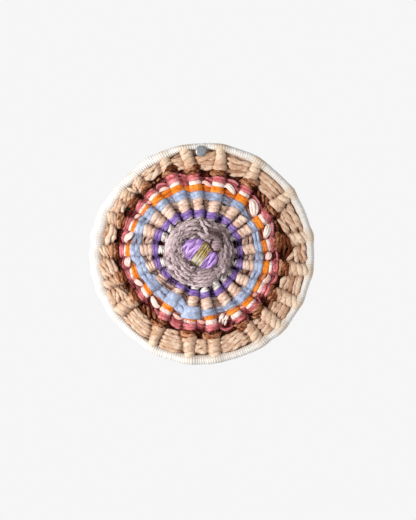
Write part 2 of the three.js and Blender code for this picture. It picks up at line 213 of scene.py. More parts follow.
def smooth(points, step, closed):
    """A curve through the points, with a sample about every step."""
    points = np.asarray(points, float)
    if closed:
        ring = np.concatenate([points[-1:], points, points[:2]])
    else:
        ring = np.concatenate([2 * points[:1] - points[1:2], points, 2 * points[-1:] - points[-2:-1]])
    p0, p1, p2, p3 = ring[:-3], ring[1:-2], ring[2:-1], ring[3:]
    t = (np.arange(10) / 10.0)[None, :, None]
    p0, p1, p2, p3 = (p[:, None, :] for p in (p0, p1, p2, p3))
    fine = 0.5 * (2 * p1 + (p2 - p0) * t + (2 * p0 - 5 * p1 + 4 * p2 - p3) * t ** 2 + (3 * p1 - p0 - 3 * p2 + p3) * t ** 3)
    fine = fine.reshape(-1, points.shape[1])
    fine = np.concatenate([fine, points[:1] if closed else points[-1:]])
    lengths = np.concatenate([[0], np.cumsum(np.linalg.norm(np.diff(fine[:, :3], axis=0), axis=1))])
    n = max(4, int(round(lengths[-1] / step)))
    at = np.linspace(0, lengths[-1], n + 1)
    if closed:
        at = at[:-1]
    return np.stack([np.interp(at, lengths, fine[:, c]) for c in range(fine.shape[1])], axis=1), at, lengths[-1]


def lattice(points, size, seed):
    """Smooth random values from 0 to 1 that change over about size millimetres."""
    q = points / size
    base = np.floor(q).astype(np.int64)
    f = q - base
    f = f * f * (3 - 2 * f)
    out = np.zeros(len(q))
    for corner in range(8):
        o = np.array([corner & 1, corner >> 1 & 1, corner >> 2 & 1])
        c = base + o
        n = (c[:, 0] * 73856093) ^ (c[:, 1] * 19349663) ^ (c[:, 2] * 83492791) ^ (seed * 40503)
        n = ((n ^ (n >> 13)) * 1274126177) & 0xffffffff
        n = (n ^ (n >> 16)) & 0xffff
        out += np.prod(np.where(o, f, 1 - f), axis=1) * (n / 65535.0)
    return out


def tube_faces(count, sides, closed):
    i, s = np.meshgrid(np.arange(count if closed else count - 1), np.arange(sides), indexing="ij")
    j, t = np.mod(i + 1, count), np.mod(s + 1, sides)
    return np.stack([i * sides + s, i * sides + t, j * sides + t, j * sides + s], axis=-1).reshape(-1, 4)


def cap_faces(count, sides):
    """Fans that close both ends of a tube, for an apex before and after its rings."""
    first, last = count * sides, count * sides + 1
    s = np.arange(sides)
    t = np.mod(s + 1, sides)
    base = (count - 1) * sides
    return np.concatenate([
        np.stack([np.full(sides, first), t, s], axis=1),
        np.stack([np.full(sides, last), base + s, base + t], axis=1),
    ])


def wobble(rng, at, total, size, waves, closed):
    """A slow random wave along a strand, which closes on itself if the strand does."""
    out = np.zeros_like(at)
    for _ in range(3):
        f = max(1, int(round(waves * rng.uniform(0.6, 1.5)))) if closed else waves * rng.uniform(0.6, 1.5)
        out += np.sin(2 * math.pi * f * at / total + rng.uniform(0, 2 * math.pi))
    return out * size / 1.8


# ------------------------------------------------------------------ yarn over the spokes and between them
def yarn(made, rng, path, at, total, side_hint, closed, width, thick, sides=12, square=0.85, ridge=0.07, twist=0.06, tone=0.5,
         streak=0.35, shade=0.0, pale=0.0, wide=1.0, thin=1.0, ends=0.0, lumps=0.05, mottle=0.35, bumpy=0.07, cell=1.7):
    """One thick yarn along a path: a flattened section whose skin has ridges and tones that run along its fibres."""
    if closed:
        tangent = unit(np.roll(path, -1, axis=0) - np.roll(path, 1, axis=0))
    else:
        tangent = unit(np.gradient(path, axis=0))
    side = unit(side_hint - (side_hint * tangent).sum(1, keepdims=True) * tangent)
    up = np.cross(tangent, side)
    flip = up[:, 1].mean() > 0
    if flip:
        up = -up
    n = len(path)
    shade, pale = np.broadcast_to(shade, (n,)), np.broadcast_to(pale, (n,))
    wide, thin = np.broadcast_to(wide, (n,)), np.broadcast_to(thin, (n,))
    theta = 2 * math.pi * np.arange(sides) / sides
    turns = twist * total
    if closed:
        turns = round(turns)
    spun = theta[None, :] - 2 * math.pi * turns * (at / max(total, 1e-6))[:, None]

    def fibres(orders):
        out = np.zeros((n, sides))
        for m in orders:
            drift = wobble(rng, at, total, 1.2, max(total / 7.0, 1.0), closed)
            swell = 1 + wobble(rng, at, total, 0.5, max(total / 5.0, 1.0), closed)
            out += swell[:, None] * np.cos(m * spun + rng.uniform(0, 2 * math.pi) + drift[:, None])
        return out / len(orders)

    skin, hue = fibres((2, 3, 5)), fibres((2, 4, 5))
    c, v = np.cos(theta)[None, :], np.sin(theta)[None, :]
    c, v = np.sign(c) * np.abs(c) ** square, np.sign(v) * np.abs(v) ** square
    size = 1 + ridge * skin
    swell = 1 + wobble(rng, at, total, lumps, max(total / 8.0, 1.0), closed)
    taper = np.ones(n)
    if ends and not closed:
        taper = 1 - ends * (1 - ease(np.minimum(at, total - at) / (0.3 * total)))
    u = width / 2 * (wide * swell * taper)[:, None] * c * size
    w = thick / 2 * (thin * taper)[:, None] * v * size
    grain = lattice((path[:, None, :] + side[:, None, :] * u[:, :, None] + up[:, None, :] * w[:, :, None]).reshape(-1, 3), cell,
                    int(rng.integers(1 << 20))).reshape(n, sides) - 0.5
    u, w = u * (1 + 2 * bumpy * grain), w * (1 + 2 * bumpy * grain)
    points = (path[:, None, :] + side[:, None, :] * u[:, :, None] + up[:, None, :] * w[:, :, None]).reshape(-1, 3)
    # painted shade: darker on each strand's sides and underside, where its neighbours would shade it
    hollow = np.clip(0.52 - 0.55 * v + 0.35 * np.clip(-skin, 0, 1) - 0.4 * grain, 0, 1).ravel()
    hue = np.clip(tone + streak * hue + 2 * mottle * grain, 0, 1).ravel()
    sh, pl, al, ar = np.repeat(shade, sides), np.repeat(pale, sides), np.repeat(at, sides), (spun / (2 * math.pi)).ravel()
    faces = tube_faces(n, sides, closed)
    if flip:
        faces = faces[:, ::-1]
    caps = None
    if not closed:
        caps = cap_faces(n, sides)
        if flip:
            caps = caps[:, ::-1]
        reach = thick * 0.25 * taper
        points = np.concatenate([points, [path[0] - tangent[0] * reach[0], path[-1] + tangent[-1] * reach[-1]]])
        sh, pl = np.append(sh, [shade[0], shade[-1]]), np.append(pl, [pale[0], pale[-1]])
        al, ar = np.append(al, [at[0], at[-1]]), np.append(ar, [0, 0])
        hollow, hue = np.append(hollow, [0.3, 0.3]), np.append(hue, [tone, tone])
    made.add(points, faces, caps, strand=hue, shade=sh, pale=pl, along=al, around=ar, cavity=hollow)


def rope(made, rng, path, at, total, side_hint, closed, width, thick, plies=2, pitch=24.0, turn=1, wide=1.0, tone=(0.3, 0.7), **spun):
    """Plies laid round each other into one thicker yarn, or a single yarn where plies is 1."""
    if plies == 1:
        yarn(made, rng, path, at, total, side_hint, closed, width, thick, wide=wide, tone=rng.uniform(*tone), **spun)
        return
    if closed:
        tangent = unit(np.roll(path, -1, axis=0) - np.roll(path, 1, axis=0))
    else:
        tangent = unit(np.gradient(path, axis=0))
    side = unit(side_hint - (side_hint * tangent).sum(1, keepdims=True) * tangent)
    up = np.cross(tangent, side)
    if up[:, 1].mean() > 0:
        up = -up
    turns = total / pitch
    if closed:
        turns = round(turns)
    start = rng.uniform(0, 2 * math.pi)
    part = {2: 0.64, 3: 0.56, 4: 0.5}[plies]
    wide = np.broadcast_to(wide, (len(path),))
    for j in range(plies):
        b = start + 2 * math.pi * (j / plies + turn * turns * at / total)
        off = side * (np.cos(b) * wide * width / 2 * (1 - part))[:, None] + up * (np.sin(b) * thick / 2 * (1 - part))[:, None]
        yarn(made, rng, path + off, at, total, side_hint, closed, width * part, thick * part, wide=wide, tone=rng.uniform(*tone), **spun)


def radial(path):
    a = np.arctan2(path[:, 0] - HUB_X, path[:, 2] - HUB_Z)
    return np.stack([np.sin(a), np.zeros_like(a), np.cos(a)], axis=1)


def ring_lines(outer, inner):
    ro = SPOKE[outer]
    ri = SPOKE[inner] if inner != "coil" else coil_edge(spoke_angle(np.arange(N), 31.0))
    return ro, ri


def ribs_of(inner_ring):
    """Every rib as (spoke number, share to the next spoke): the short spoke only near the hub."""
    ribs = [(k, 0.0) for k in range(N)]
    if inner_ring:
        ribs.insert(SHORT[0] + 1, SHORT)
    return ribs


def rib_line(rib, r):
    k, share = rib
    a = float(spoke_angle(k, r))
    return a + (float(spoke_angle(k + 1, r)) - a) * share if share else a


def table(values, k, share=0.0):
    values = np.broadcast_to(np.asarray(values, float), (N,))
    return float(values[k % N] * (1 - share) + values[(k + 1) % N] * share)


def over_ribs(made, seed, outer, inner, count, top, base, thick, tilt=0.0, short=False, jitter=0.3, pale=None, shade=1.0, wide=1.0,
              step=1.15, reach=0.0, lap=1.15, spread=104, tone=(0.3, 0.7), halves=None, beyond=0.0, fall=0.0, square=0.8, dim=0.0, **spun):
    """The turns that cross each spoke: count of them from the outer line to the inner one."""
    rng = seeded(seed)
    ro, ri = ring_lines(outer, inner)
    for rib in ribs_of(short):
        k, share = rib
        rim, r1 = table(ro, k, share), table(ri, k, share)
        r0 = rim + beyond
        t, b, lean0 = table(top, k, share), table(base, k, share), table(tilt, k, share)
        m = count[k] if isinstance(count, (list, tuple)) else count
        for j in range(m):
            r = r0 + (r1 - r0) * (j + 0.5) / m + rng.normal(0, jitter * 0.4)
            if share:
                w = 0.42 * min(rib_line(rib, r) - float(spoke_angle(k, r)), float(spoke_angle(k + 1, r)) - rib_line(rib, r)) * r
            elif halves:
                w = float(np.interp(r, halves[0], halves[1][k]))
            else:
                w = rib_half(r, k, short)
            w = (w * table(wide, k, share) + reach * (j == m - 1)) * (1 + rng.normal(0, 0.05)) - thick * 0.3
            high = t - thick / 2 + rng.normal(0, jitter * 0.5) - fall * float(ease((r - rim + 2.5) / 4.0))
            lean = lean0 * (1 + rng.normal(0, 0.12)) * (1 - 0.45 * abs(2 * (j + 0.5) / m - 1) ** 2) + rng.normal(0, jitter)
            controls = []
            for deg in (-spread, -85, -64, -42, -21, 0, 21, 42, 64, 85, spread):
                phi = math.radians(deg)
                rr = r + lean / 2 * math.sin(phi) + rng.normal(0, jitter * 0.12)
                controls.append((rib_line(rib, rr) + w * math.sin(phi) / rr, rr, b + (high - b) * math.cos(phi)))
            c = np.array(controls)
            path, at, total = smooth(np.hstack([place(c[:, 0], c[:, 1], c[:, 2]), c]), step, False)
            aside = (path[:, 3] - np.array([rib_line(rib, q) for q in path[:, 4]])) * path[:, 4] / max(w, 1.0)
            # painted shade: darker towards each rib's flanks, more on its clockwise side, plus dim for each rib
            sh = np.clip((np.abs(aside) - 0.5) / 0.5, 0, 1) ** 1.5 * np.where(aside > 0, 1.0, 0.75) * shade
            sh = np.clip(sh + table(dim, k, share), 0, 1)
            pl = pale(path[:, 4], path[:, 5]) if pale else 0.0
            yarn(made, rng, path[:, :3], at, total, radial(path), False, (r0 - r1) / m * table(lap, k, share), thick, shade=sh, pale=pl,
                 tone=rng.uniform(*(tone[j] if isinstance(tone, list) else tone)), square=table(square, k, share), **spun)


def between_ribs(made, seed, outer, inner, count, dip, width, thick, begin=0.0, end=0.0, fan=1.0, short=False, jitter=0.4, shade=0.5,
                 pale=0.0, step=1.8, sink=2.5, bow=0.0, dark_ends=0.35, row_shade=None, **spun):
    """The runs from spoke to spoke, which pass under the turns: one closed round for each of count rows."""
    rng = seeded(seed)
    ro, ri = ring_lines(outer, inner)
    for i in range(count):
        share_r = (i + 0.5) / count
        controls = []
        for k in range(N):
            middle0, middle1 = (ro[k] + ri[k]) / 2, (ro[(k + 1) % N] + ri[(k + 1) % N]) / 2
            r0, r1 = ro[k] + (ri[k] - ro[k]) * share_r, ro[(k + 1) % N] + (ri[(k + 1) % N] - ro[(k + 1) % N]) * share_r
            f = table(fan, k)
            r0 = middle0 + (r0 - middle0) * f + table(begin, k) + rng.normal(0, jitter * 0.5)
            r1 = middle1 + (r1 - middle1) * f + table(end, k) + rng.normal(0, jitter * 0.5)
            a0, a1 = float(spoke_angle(k, r0)), float(spoke_angle(k + 1, r1))
            w0, w1 = rib_half(r0, k, short) / r0, rib_half(r1, k + 1, short) / r1
            e0, e1 = a0 + w0 * 0.85, a1 - w1 * 0.85
            d = table(dip, k) - thick / 2 + rng.normal(0, jitter * 0.6)
            sh, pl = table(shade, k) + (row_shade[i] if row_shade else 0.0), table(pale, k)
            bend = table(bow, k) + rng.normal(0, jitter)
            controls.append((a0, r0, d - sink, 1.0, pl))
            cuts = [(0.0, -0.9), (0.3, -0.1), (0.5, 0.15), (0.7, -0.1), (1.0, -0.9)]
            if short and k == SHORT[0]:
                cuts = [(0.0, -0.9), (0.22, 0.0), (0.5, -2.0), (0.78, 0.0), (1.0, -0.9)]
            # painted shade: each run darker towards its ends, where it goes under the ribs
            for f, lift in cuts:
                edge = abs(2 * f - 1)
                controls.append((e0 + (e1 - e0) * f, r0 + (r1 - r0) * f + bend * math.sin(math.pi * f), d + lift * sink / 2.5,
                                 min(1.0, sh + dark_ends * edge ** 2), pl))
        c = np.array(controls)
        path, at, total = smooth(np.hstack([place(c[:, 0], c[:, 1], c[:, 2]), c]), step, True)
        a = np.mod(path[:, 3], 2 * math.pi)
        lay = np.interp(a, *ring_width(ro, ri, count)) / ((ro - ri).mean() / count)
        rope(made, rng, path[:, :3], at, total, radial(path), True, width, thick, shade=np.clip(path[:, 6], 0, 1),
             pale=np.clip(path[:, 7], 0, 1), wide=np.clip(lay, 0.6, 1.35), **spun)


def ring_width(ro, ri, rows):
    k = np.arange(-1, N + 1)
    return spoke_angle(k, 60.0), ((ro - ri) / rows)[np.mod(k, N)]


def hairs(made, seed, count, where, height, tone=(0.2, 0.8), shade=0.1, span=(2.5, 6.5), size=(0.07, 0.13), swing=0.6, rise=(0.2, 1.1)):
    """Fine single fibres that stand off the yarn, each a thin closed tube: where(rng, n) gives their angles and radii."""
    rng = seeded(seed)
    a, r = where(rng, count)
    m = 6
    t = np.linspace(0, 1, m)[None, :]
    head = (a + math.pi / 2 + rng.normal(0, swing, count))[:, None] + rng.normal(0, 0.9, count)[:, None] * (t - 0.5)
    step = rng.uniform(*span, count)[:, None] / (m - 1)
    x = (r * np.sin(a))[:, None] + np.cumsum(np.sin(head) * step, axis=1)
    z = (r * np.cos(a))[:, None] + np.cumsum(np.cos(head) * step, axis=1)
    h = height(np.arctan2(x, z).ravel(), np.hypot(x, z).ravel()).reshape(x.shape)
    h = h + rng.uniform(*rise, count)[:, None] * np.sin(math.pi * t) - 0.2
    centre = np.stack([HUB_X + x, -h, HUB_Z + z], axis=-1)
    across = np.stack([np.cos(head), np.zeros_like(head), -np.sin(head)], axis=-1)
    rad = rng.uniform(*size, count)[:, None] * (1 - 0.7 * np.abs(2 * t - 1) ** 3)
    theta = 2 * math.pi * np.arange(3) / 3
    back = np.array([0.0, 1.0, 0.0])
    points = centre[:, :, None, :] + rad[:, :, None, None] * (np.cos(theta)[None, None, :, None] * across[:, :, None, :]
                                                              + np.sin(theta)[None, None, :, None] * back)
    faces = tube_faces(m, 3, False)
    start = (np.arange(count) * m * 3)[:, None, None]
    last = (m - 1) * 3
    ends = np.array([[0, 2, 1], [last, last + 1, last + 2]])
    made.add(points, (faces[None] + start).reshape(-1, 4), (ends[None] + start).reshape(-1, 3),
             strand=np.repeat(rng.uniform(*tone, count), m * 3), shade=shade)


def behind(made, seed, outer, inner, count, thick=2.0, rise=2.1, shade=0.2, **spun):
    """The rows as they lie at the back, close to the wall: one closed round each, drawn in a little at the spokes."""
    rng = seeded(seed)
    a = np.arange(190) * 2 * math.pi / 190
    ro, ri = line_at(outer, a), line_at(inner, a)
    if outer == "hoopIn":
        ro = ro - 5.0 * np.exp(-((np.degrees(np.arctan2(np.sin(a), np.cos(a))) + 0.3) / 5.0) ** 4)
    d, _ = nearest_rib(a, (ro + ri) / 2)
    drawn = np.exp(-(d / 3.6) ** 2)
    width = (ro - ri).mean() / count
    for i in range(count):
        wave = sum(rng.normal(0, 0.12) * np.sin(f * a + rng.uniform(0, 6.28)) for f in (3, 8, 13, 21))
        path, at, total = smooth(place(a, ro + (ri - ro) * (i + 0.5) / count + wave, rise + 0.5 * drawn + 0.5 * wave), 2.4, True)
        around = np.arctan2(path[:, 0] - HUB_X, path[:, 2] - HUB_Z)
        local = (line_at(outer, around) - line_at(inner, around)) / count
        yarn(made, rng, path, at, total, radial(path), True, width * 1.12, thick, sides=8, shade=shade, tone=rng.uniform(0.3, 0.7),
             lumps=0.06, wide=np.maximum(1.0, local / width), **spun)


def between_lines(outer, inner):
    def where(rng, n):
        a = rng.uniform(0, 2 * math.pi, n)
        ro, ri = line_at(outer, a), line_at(inner, a)
        return a, ri + (ro - ri) * rng.uniform(0, 1, n)
    return where


def puffs(made, seed, rows, tone=(0.4, 0.9), step=0.9, **spun):
    """Short fat pieces of a loosely spun row that show between two spokes."""
    rng = seeded(seed)
    for width, rise, pink, shade, points in rows:
        p = np.array(points, float)
        wide = width * PIXEL
        fine, at, total = smooth(np.column_stack([np.radians(p[:, 0]) * 62, p[:, 1] * PIXEL]), 1.2, False)
        along = unit(np.gradient(fine, axis=0))
        parts = 3 if width > 4.5 else 2
        for part in range(parts):
            side = part - (parts - 1) / 2
            f = at / total
            belly = np.sin(math.pi * np.clip(f, 0.04, 0.96))
            off = side * wide * (0.34 if parts == 3 else 0.42) * (0.3 + 0.7 * belly)
            u, r = fine[:, 0] - along[:, 1] * off, fine[:, 1] + along[:, 0] * off
            a = u / 62
            h = surface(a, r, False) + rise * (0.1 + 0.9 * belly) * (1.0 if side == 0 or parts == 2 else 0.8) - 0.2 * part + 0.4
            path, span, length = smooth(place(a, r, h), step, False)
            f = span / length
            belly = 0.45 + 0.55 * np.sin(math.pi * np.clip(f, 0.02, 0.98)) ** 0.7
            # painted shade: darker towards the ends, where the piece dives under
            dim = np.clip(0.7 * np.abs(2 * f - 1) ** 2.5 + shade, 0, 1)
            each = wide / parts * 1.25
            yarn(made, rng, path, span, length, radial(path), False, each, min(each, 2.6), shade=dim, pale=pink, wide=belly, thin=belly,
                 tone=rng.uniform(*tone), **spun)


# ------------------------------------------------------------------ materials
def srgb(r, g, b):
    return tuple(c / 12.92 if c <= 0.04045 else ((c + 0.055) / 1.055) ** 2.4 for c in (r / 255, g / 255, b / 255)) + (1.0,)


class Nodes:
    def __init__(self, name):
        self.material = bpy.data.materials.new(name)
        self.material.use_nodes = True
        self.tree = self.material.node_tree
        self.shader = next(n for n in self.tree.nodes if n.type == "BSDF_PRINCIPLED")

    def node(self, kind, **settings):
        n = self.tree.nodes.new(kind)
        for key, value in settings.items():
            setattr(n, key, value)
        return n

    def link(self, a, b):
        self.tree.links.new(a, b)

    def value(self, name):
        return self.node("ShaderNodeAttribute", attribute_name=name).outputs["Fac"]

    def math(self, op, a, b=None, c=None, clamp=False):
        n = self.node("ShaderNodeMath", operation=op, use_clamp=clamp)
        for socket, x in zip(n.inputs, (a, b, c)):
            if x is None:
                continue
            if isinstance(x, (int, float)):
                socket.default_value = x
            else:
                self.link(x, socket)
        return n.outputs[0]

    def noise(self, scale, detail=2.0, rough=0.5, vector=None):
        n = self.node("ShaderNodeTexNoise")
        n.inputs["Scale"].default_value = scale
        n.inputs["Detail"].default_value = detail
        n.inputs["Roughness"].default_value = rough
        self.link(vector or self.place(), n.inputs["Vector"])
        return n.outputs[0]

    def place(self):
        if not hasattr(self, "_place"):
            self._place = self.node("ShaderNodeTexCoord").outputs["Object"]
        return self._place

    def ramp(self, factor, stops):
        n = self.node("ShaderNodeValToRGB")
        while len(n.color_ramp.elements) < len(stops):
            n.color_ramp.elements.new(0.5)
        for e, (p, c) in zip(n.color_ramp.elements, stops):
            e.position, e.color = p, c
        self.link(factor, n.inputs[0])
        return n.outputs[0]

    def mix(self, factor, a, b, kind="MIX"):
        n = self.node("ShaderNodeMix", data_type="RGBA", blend_type=kind)
        sockets = {s.identifier: s for s in n.inputs}
        for key, x in (("Factor_Float", factor), ("A_Color", a), ("B_Color", b)):
            if isinstance(x, (int, float)):
                sockets[key].default_value = x
            elif isinstance(x, tuple):
                sockets[key].default_value = x
            else:
                self.link(x, sockets[key])
        return next(s for s in n.outputs if s.identifier == "Result_Color")

    def bump(self, height, strength, distance, normal=None):
        n = self.node("ShaderNodeBump")
        n.inputs["Strength"].default_value = strength
        n.inputs["Distance"].default_value = distance
        self.link(height, n.inputs["Height"])
        if normal is not None:
            self.link(normal, n.inputs["Normal"])
        return n.outputs[0]


def yarn_material(name, dark, mid, light, recess_shade, pale=None, rough=0.85, sheen=0.25, plies=3, ply_pitch=4.0, depth=0.9,
                  fleck=None, metal=0.0, shine=0.25, fuzz=0.3, spread=0.5, groove_shade=0.45, fibre=0.55, relief=0.55):
    """Yarn: each strand has its own tone, fibres and ply lines, and painted shade darkens it where it goes down between
    its neighbours and on each strand's sides and underside.
    """
    m = Nodes(name)
    tone = m.math("MULTIPLY_ADD", m.value("strand"), spread, 0.5 - spread / 2)
    drift = m.math("SUBTRACT", m.noise(260.0, 3.0), 0.5)
    fine = m.math("SUBTRACT", m.noise(1400.0, 2.0, 0.6), 0.5)
    tone = m.math("ADD", tone, m.math("MULTIPLY", drift, 0.8))
    tone = m.math("ADD", tone, m.math("MULTIPLY", fine, fibre), clamp=True)
    colour = m.ramp(tone, [(0.0, dark), (0.5, mid), (1.0, light)])
    if fleck:
        flecks = m.math("GREATER_THAN", m.noise(fleck[1], 1.0), fleck[2])
        colour = m.mix(m.math("MULTIPLY", flecks, fleck[3]), colour, fleck[0])
    if pale:
        colour = m.mix(m.value("pale"), colour, pale)
    # painted shade: mix towards the recess colour by the shade value and, on each strand's sides and underside, by the
    # cavity value
    painted_shade = m.math("MULTIPLY", m.math("POWER", m.value("shade"), 1.2), depth)
    painted_shade = m.math("MAXIMUM", painted_shade, m.math("MULTIPLY", m.math("POWER", m.value("cavity"), 1.6), groove_shade))
    colour = m.mix(painted_shade, colour, recess_shade)
    m.link(colour, m.shader.inputs["Base Color"])
    wave = m.math("ADD", m.math("MULTIPLY", m.value("around"), float(plies)), m.math("MULTIPLY", m.value("along"), 1.0 / ply_pitch))
    wave = m.math("MULTIPLY", m.math("SINE", m.math("MULTIPLY", wave, 2 * math.pi)), 0.5)
    fibres = m.node("ShaderNodeCombineXYZ")
    m.link(m.math("MULTIPLY", m.value("along"), 0.35), fibres.inputs[0])
    m.link(m.math("MULTIPLY", m.value("around"), 9.0), fibres.inputs[1])
    m.link(m.math("MULTIPLY", m.value("strand"), 50.0), fibres.inputs[2])
    grain = m.noise(1.0, 3.0, 0.6, fibres.outputs[0])
    height = m.math("ADD", m.math("MULTIPLY", wave, 0.35), m.math("MULTIPLY", grain, 1.0))
    height = m.math("ADD", height, m.math("MULTIPLY", m.noise(2600.0, 1.0), fuzz))
    m.link(m.bump(height, relief, 0.0004), m.shader.inputs["Normal"])
    m.shader.inputs["Roughness"].default_value = rough
    m.shader.inputs["Metallic"].default_value = metal
    m.shader.inputs["Specular IOR Level"].default_value = shine
    if sheen:
        m.shader.inputs["Sheen Weight"].default_value = sheen
        m.shader.inputs["Sheen Roughness"].default_value = 0.5
    return m.material


# the fourth colour of each yarn is its painted shade colour, for gaps, flanks and the sides of strands
MAT = {
    "hoop_wrap": yarn_material("hoop_wrap", srgb(226, 224, 220), srgb(243, 244, 244), srgb(252, 253, 254), srgb(190, 174, 158),
                               pale=srgb(222, 202, 180), plies=2, ply_pitch=2.4, depth=0.75, sheen=0.05, groove_shade=0.28, relief=0.28),
    "tan_weft": yarn_material("tan_weft", srgb(162, 110, 76), srgb(206, 171, 144), srgb(242, 223, 205), srgb(100, 42, 14),
                              pale=srgb(230, 208, 184), plies=2, ply_pitch=9.0, depth=0.85, sheen=0.05, rough=0.85, groove_shade=0.56, fibre=0.66, shine=0.08),
    "brown_weft": yarn_material("brown_weft", srgb(66, 22, 12), srgb(130, 76, 50), srgb(202, 150, 114), srgb(46, 5, 1), depth=0.96,
                                groove_shade=0.8, fibre=0.8, sheen=0.0, shine=0.0, spread=0.85),
    "pink_weft": yarn_material("pink_weft", srgb(126, 28, 30), srgb(210, 112, 115), srgb(251, 180, 187), srgb(62, 4, 2), depth=0.98,
                               sheen=0.08, groove_shade=0.55, fibre=0.9, fuzz=0.6, shine=0.02),
    "white_weft": yarn_material("white_weft", srgb(228, 188, 176), srgb(246, 226, 217), srgb(254, 250, 247), srgb(172, 84, 70),
                                pale=srgb(226, 172, 158), depth=0.8, sheen=0.1, groove_shade=0.22, shine=0.1),
    "orange_weft": yarn_material("orange_weft", srgb(196, 84, 12), srgb(236, 135, 38), srgb(248, 162, 68), srgb(160, 56, 10), depth=0.84,
                                 pale=srgb(208, 146, 112), sheen=0.05, groove_shade=0.45, fibre=0.7, spread=0.8, shine=0.08),
    "blue_weft": yarn_material("blue_weft", srgb(122, 125, 150), srgb(162, 175, 203), srgb(212, 222, 243), srgb(120, 92, 92), depth=0.85,
                               sheen=0.15, rough=0.95, fuzz=0.5, groove_shade=0.16, fibre=0.6, shine=0.05),
    "sand_weft": yarn_material("sand_weft", srgb(184, 136, 108), srgb(225, 193, 175), srgb(251, 236, 224), srgb(104, 54, 34), depth=0.92,
                               sheen=0.05, rough=0.85, plies=2, ply_pitch=9.0, groove_shade=0.55, fibre=0.7, shine=0.08),
    "violet_weft": yarn_material("violet_weft", srgb(78, 44, 116), srgb(142, 111, 182), srgb(200, 176, 234), srgb(32, 8, 46), depth=0.92,
                                 sheen=0.05, groove_shade=0.5, fibre=0.8, shine=0.05),
    # the metal thread's near-white light tone is partly painted glints; its slight metal and specular shine is real
    "metal_thread": yarn_material("metal_thread", srgb(128, 100, 92), srgb(236, 226, 216), srgb(255, 254, 252), srgb(50, 16, 32),
                                  depth=0.9, metal=0.15, rough=0.35, sheen=0.0, shine=0.7, spread=1.0, groove_shade=0.6),
    "mauve_coil": yarn_material("mauve_coil", srgb(116, 90, 90), srgb(188, 166, 169), srgb(236, 221, 225), srgb(50, 18, 16), depth=0.9,
                                sheen=0.1, rough=0.95, fuzz=0.8, groove_shade=0.8, fibre=0.9, shine=0.03),
    "lilac_pad": yarn_material("lilac_pad", srgb(150, 104, 190), srgb(202, 164, 234), srgb(236, 210, 252), srgb(84, 38, 108), depth=0.8,
                               sheen=0.1, plies=2, ply_pitch=5.0, groove_shade=0.6, fibre=0.5, shine=0.1),
    # the gold binding's pale colour is a painted highlight, mixed in near the lower-left of each thread
    "gold_binding": yarn_material("gold_binding", srgb(84, 60, 20), srgb(176, 146, 78), srgb(240, 226, 176), srgb(36, 20, 4), depth=0.9,
                                  pale=srgb(252, 250, 240), metal=0.25, rough=0.35, sheen=0.0, shine=0.6, spread=1.0, groove_shade=0.9),
}


def ground_material():
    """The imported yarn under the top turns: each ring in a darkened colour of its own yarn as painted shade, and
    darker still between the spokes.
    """
    m = Nodes("ground")
    layers = [("tan", srgb(158, 98, 60)), ("brown", srgb(60, 10, 4)), ("pink", srgb(112, 22, 20)), ("white", srgb(196, 120, 102)),
              ("orange", srgb(168, 66, 14)), ("blue", srgb(104, 100, 120)), ("sand", srgb(120, 66, 46)), ("violet", srgb(50, 16, 84)),
              ("hub", srgb(52, 26, 40))]
    stops = [(0.0001 + i / 9.0, c) for i, (_, c) in enumerate(layers)]
    n = m.node("ShaderNodeValToRGB")
    n.color_ramp.interpolation = "CONSTANT"
    while len(n.color_ramp.elements) < len(stops):
        n.color_ramp.elements.new(0.5)
    for e, (p, c) in zip(n.color_ramp.elements, stops):
        e.position, e.color = p, c
    m.link(m.value("strand"), n.inputs[0])
    drift = m.ramp(m.noise(600.0, 2.0), [(0.3, (0.6, 0.6, 0.6, 1)), (0.7, (1, 1, 1, 1))])
    colour = m.mix(0.8, n.outputs[0], drift, "MULTIPLY")
    # painted shade: towards a near-black maroon where the shade value is high, between the spokes
    colour = m.mix(m.value("shade"), colour, srgb(46, 7, 2))
    m.link(colour, m.shader.inputs["Base Color"])
    m.link(m.bump(m.noise(900.0, 3.0), 0.6, 0.0006), m.shader.inputs["Normal"])
    m.shader.inputs["Roughness"].default_value = 0.95
    m.shader.inputs["Specular IOR Level"].default_value = 0.0
    return m.material


def nail_material():
    m = Nodes("nail")
    worn = m.noise(420.0, 4.0, 0.6)
    colour = m.ramp(worn, [(0.3, srgb(120, 124, 130)), (0.55, srgb(158, 163, 170)), (0.75, srgb(190, 195, 200))])
    m.link(colour, m.shader.inputs["Base Color"])
    m.link(m.ramp(worn, [(0.3, (0.6, 0.6, 0.6, 1)), (0.7, (0.38, 0.38, 0.38, 1))]), m.shader.inputs["Roughness"])
    m.link(m.bump(m.noise(900.0, 3.0), 0.35, 0.0003), m.shader.inputs["Normal"])
    m.shader.inputs["Metallic"].default_value = 0.75
    return m.material


def keep(piece, *nodes, slot=None):
    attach(piece, "root")
    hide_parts(*nodes)
    return piece


# ------------------------------------------------------------------ camera, light and floor
scene = bpy.context.scene
scene.view_settings.view_transform = "Standard"
LENS, SENSOR = 135.0, 36.0
ACROSS = 520 * PIXEL / 1000
target = Vector(((HUB_X + 6.5 * PIXEL) / 1000, -0.008, (HUB_Z - 5.5 * PIXEL) / 1000))
away = ACROSS / SENSOR * LENS
camera = bpy.data.objects.new("camera", bpy.data.cameras.new("camera"))
camera.data.lens, camera.data.sensor_width = LENS, SENSOR
camera.location = target + Vector((0, -away, 0))
camera.rotation_euler = (math.radians(90), 0, 0)
camera.data.clip_start, camera.data.clip_end = 0.05, 50
scene.collection.objects.link(camera)
scene.camera = camera


def area_light(name, where, towards, size, power, colour=(1, 1, 1)):
    data = bpy.data.lights.new(name, "AREA")
    data.shape, data.size, data.energy, data.color = "DISK", size, power, colour
    light = bpy.data.objects.new(name, data)
    light.location = where
    light.rotation_mode = "QUATERNION"
    light.rotation_quaternion = (Vector(towards) - Vector(where)).to_track_quat("-Z", "Y")
    scene.collection.objects.link(light)


